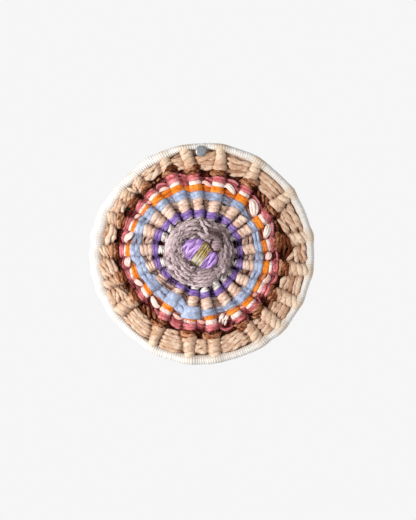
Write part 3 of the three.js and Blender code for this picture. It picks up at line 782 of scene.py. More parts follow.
area_light("key", (-0.9, -0.74, -0.05), target, 0.32, 15.2, (1.0, 0.985, 0.968))
area_light("fill", (2.1, -0.75, 0.2), target, 1.4, 9, (1.0, 0.985, 0.97))

world = bpy.data.worlds.new("studio")
scene.world = world
world.use_nodes = True
tree = world.node_tree
back = tree.nodes["Background"]
back.inputs["Color"].default_value = (0.9216, 0.9216, 0.9216, 1)
back.inputs["Strength"].default_value = 1.0
soft = tree.nodes.new("ShaderNodeBackground")
soft.inputs["Color"].default_value = (1.0, 0.975, 0.952, 1)
soft.inputs["Strength"].default_value = 0.43
paths, joined = tree.nodes.new("ShaderNodeLightPath"), tree.nodes.new("ShaderNodeMixShader")
tree.links.new(paths.outputs["Is Camera Ray"], joined.inputs[0])
tree.links.new(soft.outputs[0], joined.inputs[1])
tree.links.new(back.outputs[0], joined.inputs[2])
tree.links.new(joined.outputs[0], tree.nodes["World Output"].inputs["Surface"])

floor_mesh = bpy.data.meshes.new("floor")
floor_mesh.from_pydata([(-2.5, -2.5, -0.46), (2.5, -2.5, -0.46), (2.5, 0.86, -0.46), (-2.5, 0.86, -0.46)], [], [(0, 1, 2, 3)])
floor = bpy.data.objects.new("floor", floor_mesh)
scene.collection.objects.link(floor)
paint = Nodes("floor")
paint.link(paint.ramp(paint.noise(3.0, 2.0), [(0.3, (0.80, 0.80, 0.795, 1)), (0.7, (0.83, 0.83, 0.825, 1))]), paint.shader.inputs["Base Color"])
paint.shader.inputs["Roughness"].default_value = 0.9
floor_mesh.materials.append(paint.material)


# ------------------------------------------------------------------ ground under the turns
RINGS = [  # outer line, inner line, height on a spoke, height between spokes
    ("hoopIn", "tan", 11.2, 6.6), ("tan", "brown", 9.2, 4.0), ("brown", "pink", 10.8, 5.6), ("pink", "white", 11.8, 7.8),
    ("white", "orange", 12.2, 8.2), ("orange", "blue", 12.9, 9.2), ("blue", "sand", 13.2, 8.8), ("sand", "violet", 13.2, 9.6),
    ("violet", "coil", 12.8, 10.6),
]
UNDER = 2.3                       # the ground lies this far under the tops of the turns


LINES = [outer for outer, _, _, _ in RINGS] + ["coil"]


def surface(a, r, ribs=True):
    """The height of the weave at angles a, in radians, and radii r: over the spokes or, without ribs, as if between them."""
    lines = np.array([line_at(column, a) for column in LINES])
    middle = (lines[:-1] + lines[1:]) / 2
    rib, dip = np.array([ring[2] for ring in RINGS]), np.array([ring[3] for ring in RINGS])
    low = np.array([np.interp(-q, -middle[:, i], dip) for i, q in enumerate(r)])
    if not ribs:
        return low
    high = np.array([np.interp(-q, -middle[:, i], rib) for i, q in enumerate(r)])
    d, _ = nearest_rib(a, r)
    over = np.sqrt(np.clip(1 - (d / (rib_half(r) + 1.5)) ** 2, 0, 1))
    return low + (high - low) * over


def lay(made, seed, rows, lift, rib_lift=0.8, thick=0.8, low_ends=1.4, split=3.3, wider=1.08, reach=0.0, ends=0.55, dim=0.0, right=0.0, **spun):
    """Lengths of yarn that lie where the table puts them: width, tone, shade and points of degrees and radius in pixels."""
    rng = seeded(seed)
    for width, tone, shade, points in rows:
        p = np.array(points, float)
        fine, _, _ = smooth(np.column_stack([np.radians(p[:, 0]) * 80, p[:, 1] * PIXEL]), 2.2, False)
        a, r = fine[:, 0] / 80, fine[:, 1]
        middle = len(a) // 2
        d, _ = nearest_rib(a[middle:middle + 1], r[middle:middle + 1])
        on_rib = abs(d[0]) < rib_half(r[middle]) * 0.9
        h = surface(a, r, on_rib) + (rib_lift if on_rib else lift)
        h[0], h[-1] = h[0] - low_ends, h[-1] - low_ends
        if reach and not on_rib:
            more = [2 * reach / max(r[0], 1.0), 2 * reach / max(r[-1], 1.0)]
            run = np.hypot((a[-1] - a[0]) * r[middle], r[-1] - r[0])
            da, dr = (a[-1] - a[0]) * r[middle] / run, (r[-1] - r[0]) / run
            a = np.concatenate([[a[0] - da * more[0] / 2], a, [a[-1] + da * more[1] / 2]])
            r = np.concatenate([[r[0] - dr * reach], r, [r[-1] + dr * reach]])
            h = np.concatenate([[h[0] - 1.2], h, [h[-1] - 1.2]])
        path, at, total = smooth(place(a, r, h), 1.0, False)
        w = width * PIXEL * wider
        # painted shade: pieces between the spokes darker, more on the right side away from the light, and every piece
        # darker towards its ends
        rope(made, rng, path, at, total, radial(path), False, w, min(w * thick, 3.6), plies=2 if w > split and total > 7 else 1,
             pitch=rng.uniform(16, 26), turn=-1, tone=(max(0.0, tone - 0.12), min(1.0, tone + 0.12)),
             shade=np.clip(shade + (0.0 if on_rib else dim + right * max(0.0, math.sin(a[middle]))) + 0.35 * np.abs(2 * at / total - 1) ** 3, 0, 1), ends=ends, lumps=0.12, **spun)


def ground():
    made = Made()
    steps = 400
    a = np.arange(steps) * 2 * math.pi / steps
    loops, tones, shades = [], [], []
    for i, (outer, inner, rib, dip) in enumerate(RINGS):
        ro, ri = line_at(outer, a), line_at(inner, a)
        shares = (0.0, 0.2, 0.5, 0.8) if i in (0, 6) else (0.15, 0.5, 0.85)
        for share in shares:
            r = ro + (ri - ro) * share
            if i == 0 and share == 0.0:
                r = r + 0.6
            d, _ = nearest_rib(a, r, short=i >= 6)
            over = np.sqrt(np.clip(1 - (d / (rib_half(r) - 0.8)) ** 2, 0, 1))
            h = dip + (rib - dip) * over ** 1.2 - UNDER
            loops.append((r, np.maximum(h, 2.6)))
            tones.append((i + 0.5) / 9.0)
            # painted shade: darker away from the spokes, by how much each ring shows in its gaps
            shades.append((1 - over) * (0.35, 0.9, 0.95, 0.3, 0.2, 0.2, 0.5, 0.45, 0.8)[i])
    for share in (0.6, 0.3, 0.02):
        loops.append((coil_edge(a) * share, np.full(steps, 7.5)))
        tones.append(8.5 / 9.0)
        shades.append(np.zeros(steps))
    front = [place(a, r, h) for r, h in loops]
    rear = [place(a, r, np.maximum(h - 1.5, 1.6)) for r, h in loops]
    grid = np.array(front + rear[::-1])
    tone = np.array(tones + tones[::-1])
    m = len(grid)
    i, j = np.meshgrid(np.arange(m), np.arange(steps), indexing="ij")
    i1, j1 = (i + 1) % m, (j + 1) % steps
    quads = np.stack([i * steps + j, i1 * steps + j, i1 * steps + j1, i * steps + j1], axis=-1).reshape(-1, 4)
    made.add(grid, quads, strand=np.repeat(tone, steps), shade=np.concatenate(shades + shades[::-1]))
    piece = made.mesh("weave_ground", ground_material())
    return keep(piece, "tan_weft", "brown_weft", "pink_weft", "white_weft", "orange_weft", "blue_weft", "sand_weft", "violet_weft",
                "metal_thread", slot="brown_weft")


ground_piece = ground()

# ------------------------------------------------------------------ the wefts
# per rib: how far the turns climb outward as they cross it clockwise, its half width near the hoop, half way and at its foot,
# the number of turns, and how flat they lie
TAN_COLUMNS = ("lean", "top", "mid", "foot", "turns", "flat")
TAN_ROWS = [
    [2.8, 3.8, 5.0, 6.0, 4, 0.4], [1.6, 4.1, 5.2, 6.1, 4, 0.5], [2.4, 4.2, 5.2, 6.6, 4, 0.6], [4.8, 5.4, 6.0, 5.8, 4, 0.3],
    [5.5, 5.4, 6.0, 5.4, 4, 0.2], [5.8, 5.4, 6.2, 5.2, 4, 0.1], [5.8, 5.2, 6.0, 5.2, 4, 0.1], [4.8, 4.8, 5.3, 4.9, 4, 0.2],
    [2.2, 5.4, 5.2, 5.6, 4, 0.5], [2.2, 4.6, 4.9, 5.6, 4, 0.5], [2.4, 4.0, 4.6, 4.9, 4, 0.5], [4.5, 5.4, 5.9, 5.6, 4, 0.1],
    [5.5, 4.5, 5.0, 4.9, 4, 0.1], [6.0, 4.5, 5.2, 5.6, 4, 0.1], [6.2, 5.0, 5.7, 6.2, 4, 0.2], [6.0, 4.3, 5.5, 6.5, 4, 0.1],
    [5.2, 3.9, 4.9, 5.7, 4, 0.1], [4.4, 3.8, 5.4, 6.2, 4, 0.3], [3.8, 4.6, 6.0, 5.0, 4, 0.3],
]
TAN_RIB = {c: [row[i] for row in TAN_ROWS] for i, c in enumerate(TAN_COLUMNS)}
TAN_HALVES = ([78.0, 86.4, 94.5], [[row[3], row[2], row[1]] for row in TAN_ROWS])
# lengths of yarn that show between the spokes: width in pixels, tone, shade, places as degrees and radius in pixels
TAN_LAID = [
    (4.6, 0.6, 0, [(15.5, 99.6), (20, 99.2), (25, 100.6), (29.2, 102.4)]), (5.4, 0.45, 0, [(16.5, 95.2), (20.5, 93.6), (25, 95.2), (29.2, 97.6)]),
    (3.8, 0.7, 0, [(20.3, 85.4), (24, 87.6), (27.5, 90.4), (29.8, 92.6)]), (3.4, 0.0, 0.45, [(12, 84.8), (17, 87.6), (22, 89.4), (27.5, 92.8)]),
    (3.8, 0.5, 0, [(36, 101.2), (42, 101.2), (52.5, 102.2)]), (4.0, 0.6, 0, [(36.5, 97.6), (44, 97.4), (51.5, 97.4)]),
    (3.6, 0.45, 0.1, [(38.2, 94), (44, 94), (52, 94.2)]), (4.4, 0.8, 0, [(40, 89.8), (45.5, 90), (51.5, 90.2)]),
    (4.2, 0.0, 0.6, [(31, 87.5), (35, 89.4), (40.5, 91.4)]),
    (5.6, 0.6, 0, [(60.3, 99.8), (65.5, 99.6), (70.5, 101), (76, 103)]), (5.4, 0.65, 0, [(61.5, 93.6), (66, 93.4), (71, 95.2), (76.5, 97.2)]),
    (3.2, 0.45, 0.1, [(63, 90.4), (66.5, 89.6), (70, 90)]), (5.0, 0.65, 0, [(65.6, 85.8), (69.5, 86.6), (75.8, 89.8)]),
    (5.0, 0.6, 0, [(84.2, 101.6), (89, 102), (94, 103)]), (3.4, 0.1, 0.15, [(84.4, 97.6), (89, 98), (93.8, 100.2)]),
    (3.6, 0.7, 0, [(85.5, 94.6), (90, 94.4), (94.8, 96)]), (3.4, 0.6, 0, [(88.6, 92.6), (91.4, 89.8), (93.8, 86.4)]),
    (4.2, 0.6, 0, [(102, 101.6), (107, 101.4), (113, 103.4)]), (3.0, 0.7, 0, [(103, 98.4), (108, 98.6), (113, 99.6)]),
    (3.0, 0.1, 0.2, [(102.6, 94.8), (107, 94.6), (113.2, 95.6)]), (4.6, 0.45, 0, [(103.4, 91.2), (107.5, 91.4), (112.8, 90.6)]),
    (4.2, 0.8, 0, [(104.6, 88.2), (108.2, 85.6), (112.8, 86.6)]),
    (3.8, 0.3, 0.15, [(121, 101.4), (124.5, 101.6), (128.8, 103.2)]), (4.2, 0.5, 0, [(120.8, 97.4), (124.5, 98.2), (128.6, 98.8)]),
    (4.4, 0.55, 0, [(121.6, 93.4), (125, 93.6), (128.8, 93)]), (4.4, 0.5, 0, [(121.8, 89), (125.2, 89.2), (128.8, 89)]),
    (3.6, 0.0, 0.6, [(123, 85.6), (126, 86.2), (129, 87.8)]),
    (3.8, 0.4, 0, [(135.8, 101.6), (138.5, 101.4), (141.5, 102.5)]), (3.8, 0.6, 0, [(136.2, 97), (138.8, 97.8), (141.8, 98.6)]),
    (4.0, 0.4, 0.05, [(136.6, 92.4), (139.5, 94), (142.2, 92.2)]), (2.6, 0.9, 0, [(137.2, 90.6), (139.2, 90.8), (140.8, 89.4)]),
    (3.4, 0.7, 0, [(138.4, 86.8), (140.8, 87.4), (143, 86.8)]), (2.4, 0.6, 0, [(141.5, 84.5), (143.5, 86.5)]),
    (4.6, 0.5, 0, [(150.4, 98), (156, 97.6), (162, 98.8), (168, 98.4)]), (4.8, 0.65, 0, [(151, 93.8), (157, 93.4), (163, 94.8), (168.6, 94)]),
    (4.8, 0.6, 0, [(152, 89.6), (158, 89.6), (164, 91), (168.6, 90)]), (4.4, 0.4, 0, [(153, 86.2), (159, 85.8), (165, 87.2), (167.5, 87.6)]),
    (4.0, 0.65, 0, [(176.4, 96.2), (180, 96.8), (184.2, 95.4)]), (4.6, 0.55, 0, [(176.4, 92.2), (180, 91.8), (184.4, 92.4)]),
    (4.2, 0.6, 0, [(176.8, 87.2), (180, 87.6), (184, 87)]),
    (3.4, 0.5, 0, [(193, 99.4), (198, 100), (204, 100.6)]), (3.6, 0.6, 0, [(192.4, 96.2), (198, 96.4), (204.4, 97.6)]),
    (3.4, 0.65, 0, [(192, 93), (198.5, 93.2), (204.6, 94.2)]), (3.6, 0.6, 0, [(192.4, 89.8), (199, 89.8), (205.2, 90.4)]),
    (3.4, 0.65, 0, [(193.4, 86.6), (199.5, 86.6), (206, 86)]), (3.4, 0.7, 0, [(196, 82.6), (200.5, 82), (205.5, 84.4)]),
    (3.6, 0.55, 0, [(213.5, 98.6), (219, 99), (225, 98.4), (231, 99.4)]), (3.8, 0.65, 0, [(213, 95.4), (220, 95.8), (230, 95.2)]),
    (3.8, 0.65, 0, [(213.4, 92.2), (220, 92.4), (230.4, 91.8)]), (3.2, 0.5, 0, [(214.5, 89.4), (220.5, 90), (231, 89.8)]),
    (3.8, 0.7, 0, [(216.5, 85.6), (222, 86.8), (230.5, 86.6)]), (2.4, 0.3, 0.2, [(220, 83.4), (225, 84.6), (229.5, 84)]),
    (4.2, 0.5, 0, [(240, 100.6), (244, 99.6), (248, 100.2)]), (3.2, 0.6, 0, [(240.2, 96), (243.4, 93.6), (246.5, 92)]),
    (3.2, 0.5, 0, [(241.5, 98), (245, 96), (248.4, 95.4)]), (4.6, 0.75, 0, [(236.6, 84.8), (240.5, 86.4), (244, 88.2), (248.5, 91.2)]),
    (3.0, 0.6, 0, [(240, 90.6), (242.4, 89.4), (245.4, 90.2)]),
    (4.6, 0.6, 0, [(256, 97.2), (260, 99.2), (264.5, 101.4)]), (4.4, 0.5, 0, [(255.6, 92.6), (260, 95.4), (266, 98.4)]),
    (4.8, 0.8, 0, [(256.6, 88.6), (260.6, 91.2), (267.6, 94.8)]), (3.6, 0.7, 0, [(257.6, 86.4), (262, 87.6), (266.5, 91)]),
    (2.6, 0.2, 0.3, [(262.5, 95.2), (265, 96.4), (268.4, 97.4)]),
    (4.2, 0.95, 0, [(276.2, 94.8), (280.4, 94.6), (284, 93.2), (288.2, 94.2)]), (3.8, 0.85, 0, [(278.2, 90.6), (281.8, 89.4), (285.2, 90.6), (287.8, 92.4)]),
    (4.4, 0.0, 0.2, [(280.5, 98.6), (284, 96.8), (287, 97.6)]),
    (4.4, 0.5, 0, [(295.8, 98.8), (299.5, 98.2), (304, 98.6)]), (4.0, 0.6, 0, [(296.4, 94.2), (299.6, 95.4), (303.6, 95.6)]),
    (4.4, 0.85, 0, [(297.6, 90.4), (300.4, 91.6), (303.6, 91.2)]),
    (3.6, 0.8, 0, [(311.6, 98.5), (312.8, 94.4), (313.6, 91)]), (3.2, 0.6, 0, [(316.5, 98), (314.8, 94), (313.6, 90.5)]),
    (4.4, 0.6, 0, [(323.4, 98.4), (328, 98.8), (334.4, 98.8)]), (6.0, 0.85, 0, [(323, 93.8), (326.6, 92.8), (330.4, 92.8), (334, 94.2)]),
    (4.4, 0.4, 0, [(341.6, 98.6), (345, 97.2), (349, 97.4)]), (4.2, 0.35, 0.1, [(342.6, 94.2), (345.6, 93.2), (349.2, 93.2)]),
    (4.0, 0.6, 0, [(344.4, 89), (346.6, 89.4), (349.4, 88.8)]),
    (5.2, 0.4, 0, [(356.8, 96.6), (360, 95.8), (364.5, 97.2), (368.6, 99.2)]), (3.6, 0.35, 0.05, [(357.4, 92.2), (362, 92), (368.4, 93.4)]),
    (5.6, 0.6, 0, [(358.4, 87.8), (362.8, 87.4), (368.2, 88.6)]), (4.6, 0.45, 0, [(361, 98.5), (364, 99.6), (368.5, 102.6)]),
]
made = Made()
over_ribs(made, 11, "hoopIn", "tan", [int(n) for n in TAN_RIB["turns"]], 11.7, 5.0, 3.4, tilt=TAN_RIB["lean"], halves=TAN_HALVES,
          jitter=0.55, pale=lambda r, h: ease((r - 82.0) / 12.0) * 0.85, shade=0.6, reach=0.5, beyond=1.8, fall=1.9,
          lap=[1.22 + 0.2 * f for f in TAN_RIB["flat"]], square=[0.95 - 0.2 * f for f in TAN_RIB["flat"]], sides=14, ridge=0.06, streak=0.35,
          lumps=0.1, tone=(0.2, 0.8))
between_ribs(made, 12, "hoopIn", "tan", 3, 6.4, 5.4, 3.2, fan=0.94, jitter=0.4, shade=[0.35, 0.4] + [0.6] * (N - 4) + [0.5, 0.35], dark_ends=0.3, sides=8, ridge=0.1)
lay(made, 13, TAN_LAID, 1.2, right=0.28, split=4.9, wider=1.24, reach=1.6, ends=0.35, ridge=0.06, streak=0.3, sides=12, pale=0.0)
hairs(made, 14, 700, between_lines("hoopIn", "tan"), surface, tone=(0.2, 0.9))
behind(made, 15, "hoopIn", "tan", 6)
keep(made.mesh("tan_yarn", MAT["tan_weft"]), "tan_weft")

BROWN_LAID = [
    (3.0, 0.6, 0, [(6.5, 80.8), (11, 82.4), (17, 83.4)]), (2.6, 0.4, 0, [(6, 84.8), (11, 84.6), (16, 86.2)]),
    (4.2, 0.85, 0, [(27.5, 83.4), (31.5, 83.8), (37, 81.8)]), (3.4, 0.5, 0, [(28.5, 86.2), (33, 87), (38.5, 86.8)]),
    (2.2, 0.5, 0, [(42, 85.2), (44.5, 81.8)]), (2.6, 0.5, 0, [(45.2, 86), (48, 83), (50.6, 80.4)]), (2.4, 0.35, 0, [(48.8, 86.8), (51.4, 83.6), (52.8, 81)]),
    (1.8, 0.2, 0, [(42, 82), (43.4, 79.6)]),
    (3.4, 0.75, 0, [(53, 82.2), (57.5, 82.6), (62, 83.6)]), (2.6, 0.85, 0, [(53.4, 78.8), (56.2, 77.8)]), (3.6, 0.2, 0.1, [(59, 86), (62, 86.2), (64.5, 84)]),
    (3.0, 0.0, 0.4, [(68, 81.4), (71, 81.2), (73, 79)]), (1.8, 0.9, 0.1, [(65.8, 81.4), (67.2, 80.2)]),
    (5.0, 0.7, 0, [(72.8, 79), (76.5, 78.2), (82, 75), (86, 75.8)]), (3.8, 0.35, 0.15, [(75, 81.6), (80.5, 80.8), (85.5, 78.2), (88.5, 77.2)]),
    (3.2, 0.2, 0.3, [(75.5, 84.6), (81, 84.6), (86, 82.8), (91, 82.2)]), (3.6, 0.1, 0.25, [(77, 86.6), (83, 88.2), (87, 88.8), (91.5, 85)]),
    (4.2, 0.7, 0, [(93.6, 79.2), (98.5, 80.8), (104.6, 79.6)]), (3.6, 0.35, 0, [(93.8, 83.8), (98.5, 84), (105, 81.8)]),
    (2.8, 0.25, 0, [(95, 87), (100, 86.8), (104.5, 87)]), (2.0, 0.2, 0.3, [(104, 78.4), (110, 80), (113.6, 77.6)]),
    (3.2, 0.35, 0, [(112, 77), (117, 78.6), (122.6, 78.8)]), (3.4, 0.6, 0, [(114.5, 82.2), (119, 81.6), (124, 80.2)]),
    (3.0, 0.3, 0, [(116, 84.6), (121, 85), (124.5, 83.6)]),
    (4.0, 0.75, 0, [(129.6, 77), (133.5, 77.8), (138.5, 76.6)]), (2.8, 0.55, 0, [(129.8, 80.2), (134, 80.8), (139, 79.6)]),
    (3.4, 0.65, 0, [(134, 83.6), (138, 83.4), (141, 80.8)]), (2.2, 0.1, 0.4, [(141.4, 82), (143.2, 78.6)]),
    (4.4, 0.65, 0, [(144.2, 79.8), (149, 81.6), (153.8, 81)]), (3.2, 0.4, 0, [(146.5, 84.2), (150.5, 84.8), (155.5, 83.8)]),
    (2.6, 0.8, 0, [(152, 79.4), (155.5, 78.2)]), (2.2, 0.0, 0.5, [(155.5, 81.5), (159, 81)]),
    (4.4, 0.6, 0, [(166.2, 80.4), (170, 82.6), (174.5, 81.8), (177.5, 79.4)]), (3.4, 0.95, 0, [(174.8, 85.6), (177.4, 83.6), (178.6, 79.8)]),
    (2.4, 0.35, 0, [(167.8, 83.6), (171, 83.8), (175, 84.4)]), (3.0, 0.1, 0.3, [(180.6, 79), (182.8, 77.2), (185, 76)]),
    (4.6, 0.9, 0, [(184.8, 81.2), (189, 82), (195.4, 80.6)]), (2.8, 0.4, 0, [(184.6, 78.4), (189, 78.4), (194.5, 77.8)]),
    (2.4, 0.6, 0, [(186, 84), (190, 84.4), (194.5, 84)]), (3.4, 0.1, 0.2, [(203.8, 80.6), (206.5, 80), (209, 78.4)]),
    (3.2, 0.55, 0, [(206.8, 77.6), (210.5, 78.4), (214.4, 76.6)]), (3.6, 0.45, 0, [(207.4, 82.4), (211.5, 82.2), (216.5, 83.8)]),
    (2.6, 0.85, 0, [(212.6, 84.8), (215, 84.4), (217.4, 82.4)]), (2.8, 0.7, 0, [(215.4, 79.4), (218.4, 76.6), (220.6, 73.6)]),
    (2.6, 0.6, 0, [(219.6, 81.4), (222.4, 78.6), (226, 74.4)]), (2.2, 0.75, 0, [(224.4, 81), (226.6, 79.2), (228.6, 77)]),
    (2.0, 0.1, 0.3, [(222, 83.4), (225.6, 81.4), (229, 78.5)]), (2.4, 0.1, 0.3, [(228, 80.5), (231.5, 79)]),
    (4.6, 0.8, 0, [(233.6, 82.8), (237.5, 82.6), (242.5, 80.2)]), (3.2, 0.35, 0, [(233.4, 78.6), (237, 78.2), (241.5, 76.8)]),
    (2.4, 0.3, 0, [(241.2, 80.4), (243.2, 78.2), (244.8, 76.2)]), (2.4, 0.3, 0.3, [(245.8, 84), (249, 81.6)]),
    (3.4, 0.5, 0, [(249.5, 82), (254, 83.2), (259.5, 85.4)]), (2.4, 0.6, 0, [(250, 84.8), (254, 86.4), (258.6, 87.6)]),
    (3.0, 0.1, 0.2, [(249, 79), (254, 79.6), (260, 81.6)]),
    (3.4, 0.85, 0, [(267.2, 89.8), (271.5, 90.4), (276.8, 90.2)]), (3.0, 0.6, 0, [(266.6, 86), (271, 86.6), (277.2, 87.6)]),
    (2.4, 0.2, 0.1, [(266.6, 83.4), (271, 84.2), (277.6, 85.4)]),
    (4.4, 0.8, 0, [(287.6, 86.8), (291.5, 87.6), (297, 88.2)]), (3.0, 0.25, 0, [(288, 83.6), (292, 83.4), (296.5, 84.4)]),
    (3.2, 0.6, 0, [(291.5, 89.6), (295, 89.8), (298, 90.4)]),
    (4.2, 0.6, 0, [(303.4, 88.2), (307, 88.4), (311.4, 87.6)]), (3.4, 0.3, 0, [(303.4, 84.6), (307.5, 85.2), (312.2, 84.6)]),
    (2.4, 0.1, 0.1, [(302.6, 82), (306, 82.4)]),
    (5.0, 0.5, 0, [(317.4, 87.2), (320.5, 88), (324.2, 86.6)]), (3.4, 0.75, 0, [(319.2, 91.4), (321, 91.2), (323.6, 90)]),
    (2.4, 1.0, 0.1, [(325.2, 87), (327, 86)]), (2.6, 0.7, 0.1, [(329, 85.8), (331, 87.2)]),
    (3.8, 0.75, 0, [(333.4, 86.8), (337, 88.4), (340, 87)]), (4.6, 0.2, 0, [(336.5, 90.8), (341, 92.2), (345.6, 90.8)]),
    (3.6, 0.05, 0.1, [(338.4, 87.6), (342, 88.4), (345.6, 87.2)]),
    (4.2, 0.75, 0, [(349, 84.2), (352.4, 85.6), (356.5, 86.4)]), (2.8, 0.5, 0, [(350, 81), (353.4, 81.8), (357.2, 82.2)]),
    (3.4, 0.2, 0, [(353.5, 87.4), (356.5, 88.4), (359.4, 86.6)]), (3.4, 0.1, 0.1, [(355, 84.4), (358, 83.6)]),
    (3.6, 0.75, 0, [(366.4, 82.6), (368.6, 80.6), (371, 82)]), (2.0, 0.0, 0.4, [(363, 80.5), (366, 79)]),
]
BROWN_DIM = [0.1, 0.1, 0.2, 0.2, 0.25, 0.2, 0.15, 0.1, 0.1, 0.1, 0.2, 0.3, 0.4, 0.45, 0.45, 0.35, 0.3, 0.25, 0.15]
made = Made()
over_ribs(made, 21, "tan", "brown", 2, 9.0, 3.8, 2.8, tilt=2.0, wide=1.05, jitter=0.6, shade=1.0, ridge=0.1, streak=0.45, tone=[(0.25, 0.6), (0.0, 0.15)], dim=BROWN_DIM)
between_ribs(made, 22, "tan", "brown", 2, 4.4, 4.0, 2.4, jitter=0.6, shade=0.9, dark_ends=0.1, sink=0.8, plies=2, pitch=15.0, turn=1, sides=7,
             ridge=0.12, streak=0.5, tone=(0.0, 0.6))
lay(made, 23, BROWN_LAID, 1.3, rib_lift=1.0, reach=0.8, ends=0.45, dim=0.1, split=3.9, wider=1.12, ridge=0.1, streak=0.45, sides=12)
hairs(made, 24, 800, between_lines("tan", "brown"), surface, tone=(0.0, 0.6), swing=0.9, shade=0.2)
behind(made, 25, "tan", "brown", 2)
keep(made.mesh("brown_yarn", MAT["brown_weft"]), "brown_weft")

PINK_LAID = [
    (2.6, 0.85, 0, [(18, 79), (22, 79.7), (26, 79.4), (29, 78)]), (2.2, 0.3, 0.2, [(17.5, 76.6), (21, 77.2), (26, 76.6), (30, 74.8)]),
    (2.4, 0.35, 0.1, [(26, 75.5), (30, 73.5)]),
    (2.8, 0.75, 0, [(40.5, 78.6), (44, 78), (48, 76.4), (53, 73.4)]), (2.4, 0.45, 0.1, [(41.5, 76.4), (44, 76.2), (49, 74.2), (54.5, 71.2)]),
    (2.2, 0.4, 0.1, [(48, 78), (52, 76), (56, 74)]),
    (3.0, 0.8, 0, [(63.5, 77), (67.5, 76.6), (71.5, 74.2), (76, 70.4)]), (2.0, 0.5, 0.1, [(63.5, 74.6), (68, 74.8), (72, 71.8)]),
    (2.4, 0.5, 0.1, [(72.5, 76), (76, 72.5), (78.5, 70.8)]),
    (2.4, 0.55, 0.05, [(86.5, 74.6), (89.5, 75.4), (93.5, 75.8), (96, 77)]), (2.2, 0.4, 0.1, [(86, 72), (88.5, 70.4)]),
    (2.0, 0.5, 0.1, [(92.5, 73.4), (95, 74.2), (97, 74)]), (2.4, 0.0, 0.6, [(87.8, 71.6), (90.5, 72.8), (94, 71.4)]),
    (3.0, 0.75, 0, [(103.5, 77.6), (107.5, 78.2), (111.5, 76.4), (115, 72.6)]), (2.2, 0.15, 0.3, [(105, 74.8), (109, 75.2), (113, 73), (116, 70)]),
    (2.0, 0.4, 0.1, [(103.5, 72.8), (105.5, 70.8)]),
    (2.6, 0.15, 0.3, [(123.5, 74), (126, 71), (128, 69.6)]), (1.8, 0.45, 0.1, [(127.6, 68.5), (127.8, 72.6), (129.4, 76.4), (131.5, 78.6)]),
    (2.0, 0.3, 0.2, [(123.8, 70.4), (126.5, 68.8)]),
    (2.6, 0.3, 0.2, [(138.8, 73.5), (141, 71), (144, 69.6)]), (2.2, 0.2, 0.4, [(139.5, 76), (142, 73.5), (145.5, 72)]),
    (2.4, 0.5, 0.05, [(140, 70.5), (142.5, 68.6), (145, 67.4)]),
    (2.6, 0.6, 0, [(154.5, 77), (158, 78.4), (161.5, 79.4), (164.5, 77), (166.5, 73.2)]), (2.2, 0.3, 0.2, [(155, 74.5), (157.5, 76.5), (160, 77.6)]),
    (2.4, 0.2, 0.3, [(163.5, 75.5), (165.5, 72), (167, 69)]),
    (2.6, 0.3, 0.15, [(177, 73), (180.5, 71.6), (184.5, 70)]), (2.4, 0.4, 0.1, [(177.5, 70.4), (181, 69.4), (185, 68.4)]),
    (2.0, 0.1, 0.4, [(178, 75), (181, 73.4), (184.5, 72.6)]),
    (3.2, 0.6, 0, [(194.5, 75.8), (198.5, 76.4), (202.5, 75.4), (206, 73)]), (3.0, 0.45, 0, [(195, 73), (199.5, 73.4), (205.5, 70.8)]),
    (2.8, 0.3, 0.1, [(195.5, 70.2), (200, 70.4), (206, 68.8)]),
    (2.4, 0.5, 0.05, [(215, 73.8), (218.5, 72.4), (221.5, 70.6)]), (2.6, 0.0, 0.55, [(220.5, 73.5), (224, 71.2), (228.5, 67.8)]),
    (2.2, 0.0, 0.75, [(223, 75), (227, 71.5), (231, 68.5)]), (2.0, 0.2, 0.3, [(229, 71.5), (232.5, 71.2)]),
    (2.4, 0.25, 0.45, [(242.5, 74.5), (246, 75.4), (250, 76.4)]), (2.0, 0.3, 0.3, [(241.5, 71.5), (244.5, 72.5)]),
    (2.2, 0.5, 0.15, [(257.5, 77.4), (260.5, 79), (264.5, 78.8), (268, 77.4)]), (1.8, 0.35, 0.3, [(258, 75.2), (261, 77), (264, 77.4)]),
    (2.2, 0.45, 0.1, [(266, 76.5), (268.5, 75)]),
    (3.4, 0.65, 0, [(278.5, 79), (281.5, 80.4), (284.5, 79.6), (288.5, 76.8)]), (2.2, 0.35, 0.2, [(283, 82), (286, 80), (290, 78)]),
    (2.2, 0.2, 0.6, [(297.5, 80), (299.5, 78), (301.5, 76.4)]), (2.4, 0.3, 0.3, [(312.5, 79), (314.5, 77), (317, 75)]),
    (2.6, 0.6, 0, [(325.2, 78.6), (327.6, 81.4), (330.6, 81), (334.2, 77.6)]), (2.2, 0.3, 0.15, [(326, 76.8), (328.5, 79), (331, 78.6), (333.5, 76.4)]),
    (3.4, 0.35, 0.05, [(340.5, 84), (344, 83), (348.5, 79.6), (351, 77.6)]), (3.6, 0.3, 0.1, [(341, 80.6), (345, 78.8), (350, 75.4)]),
    (3.4, 0.15, 0.15, [(341, 77.4), (345.5, 75.2), (350.5, 72.2)]), (3.2, 0.3, 0.1, [(342, 74.6), (346, 72.8), (350.5, 70.6)]),
    (2.4, 0.3, 0.4, [(356.5, 78.6), (359.5, 76.4), (361.5, 74.6)]), (3.2, 0.5, 0.05, [(363, 76.6), (366.5, 75.6), (369.5, 73.6)]),
    (2.4, 0.2, 0.2, [(361.5, 73.6), (365, 73), (368.5, 70.8)]),
]
PINK_DIM = [0.0] * 11 + [0.08, 0.14, 0.14, 0.1, 0.08, 0.0, 0.0, 0.0]
made = Made()
over_ribs(made, 31, "brown", "pink", 2, 11.2, 5.6, 2.6, tilt=1.0, wide=1.0, jitter=0.45, shade=0.9, ridge=0.1, twist=0.12, streak=0.5,
          tone=[(0.3, 0.7), (0.75, 1.0)], dim=PINK_DIM)
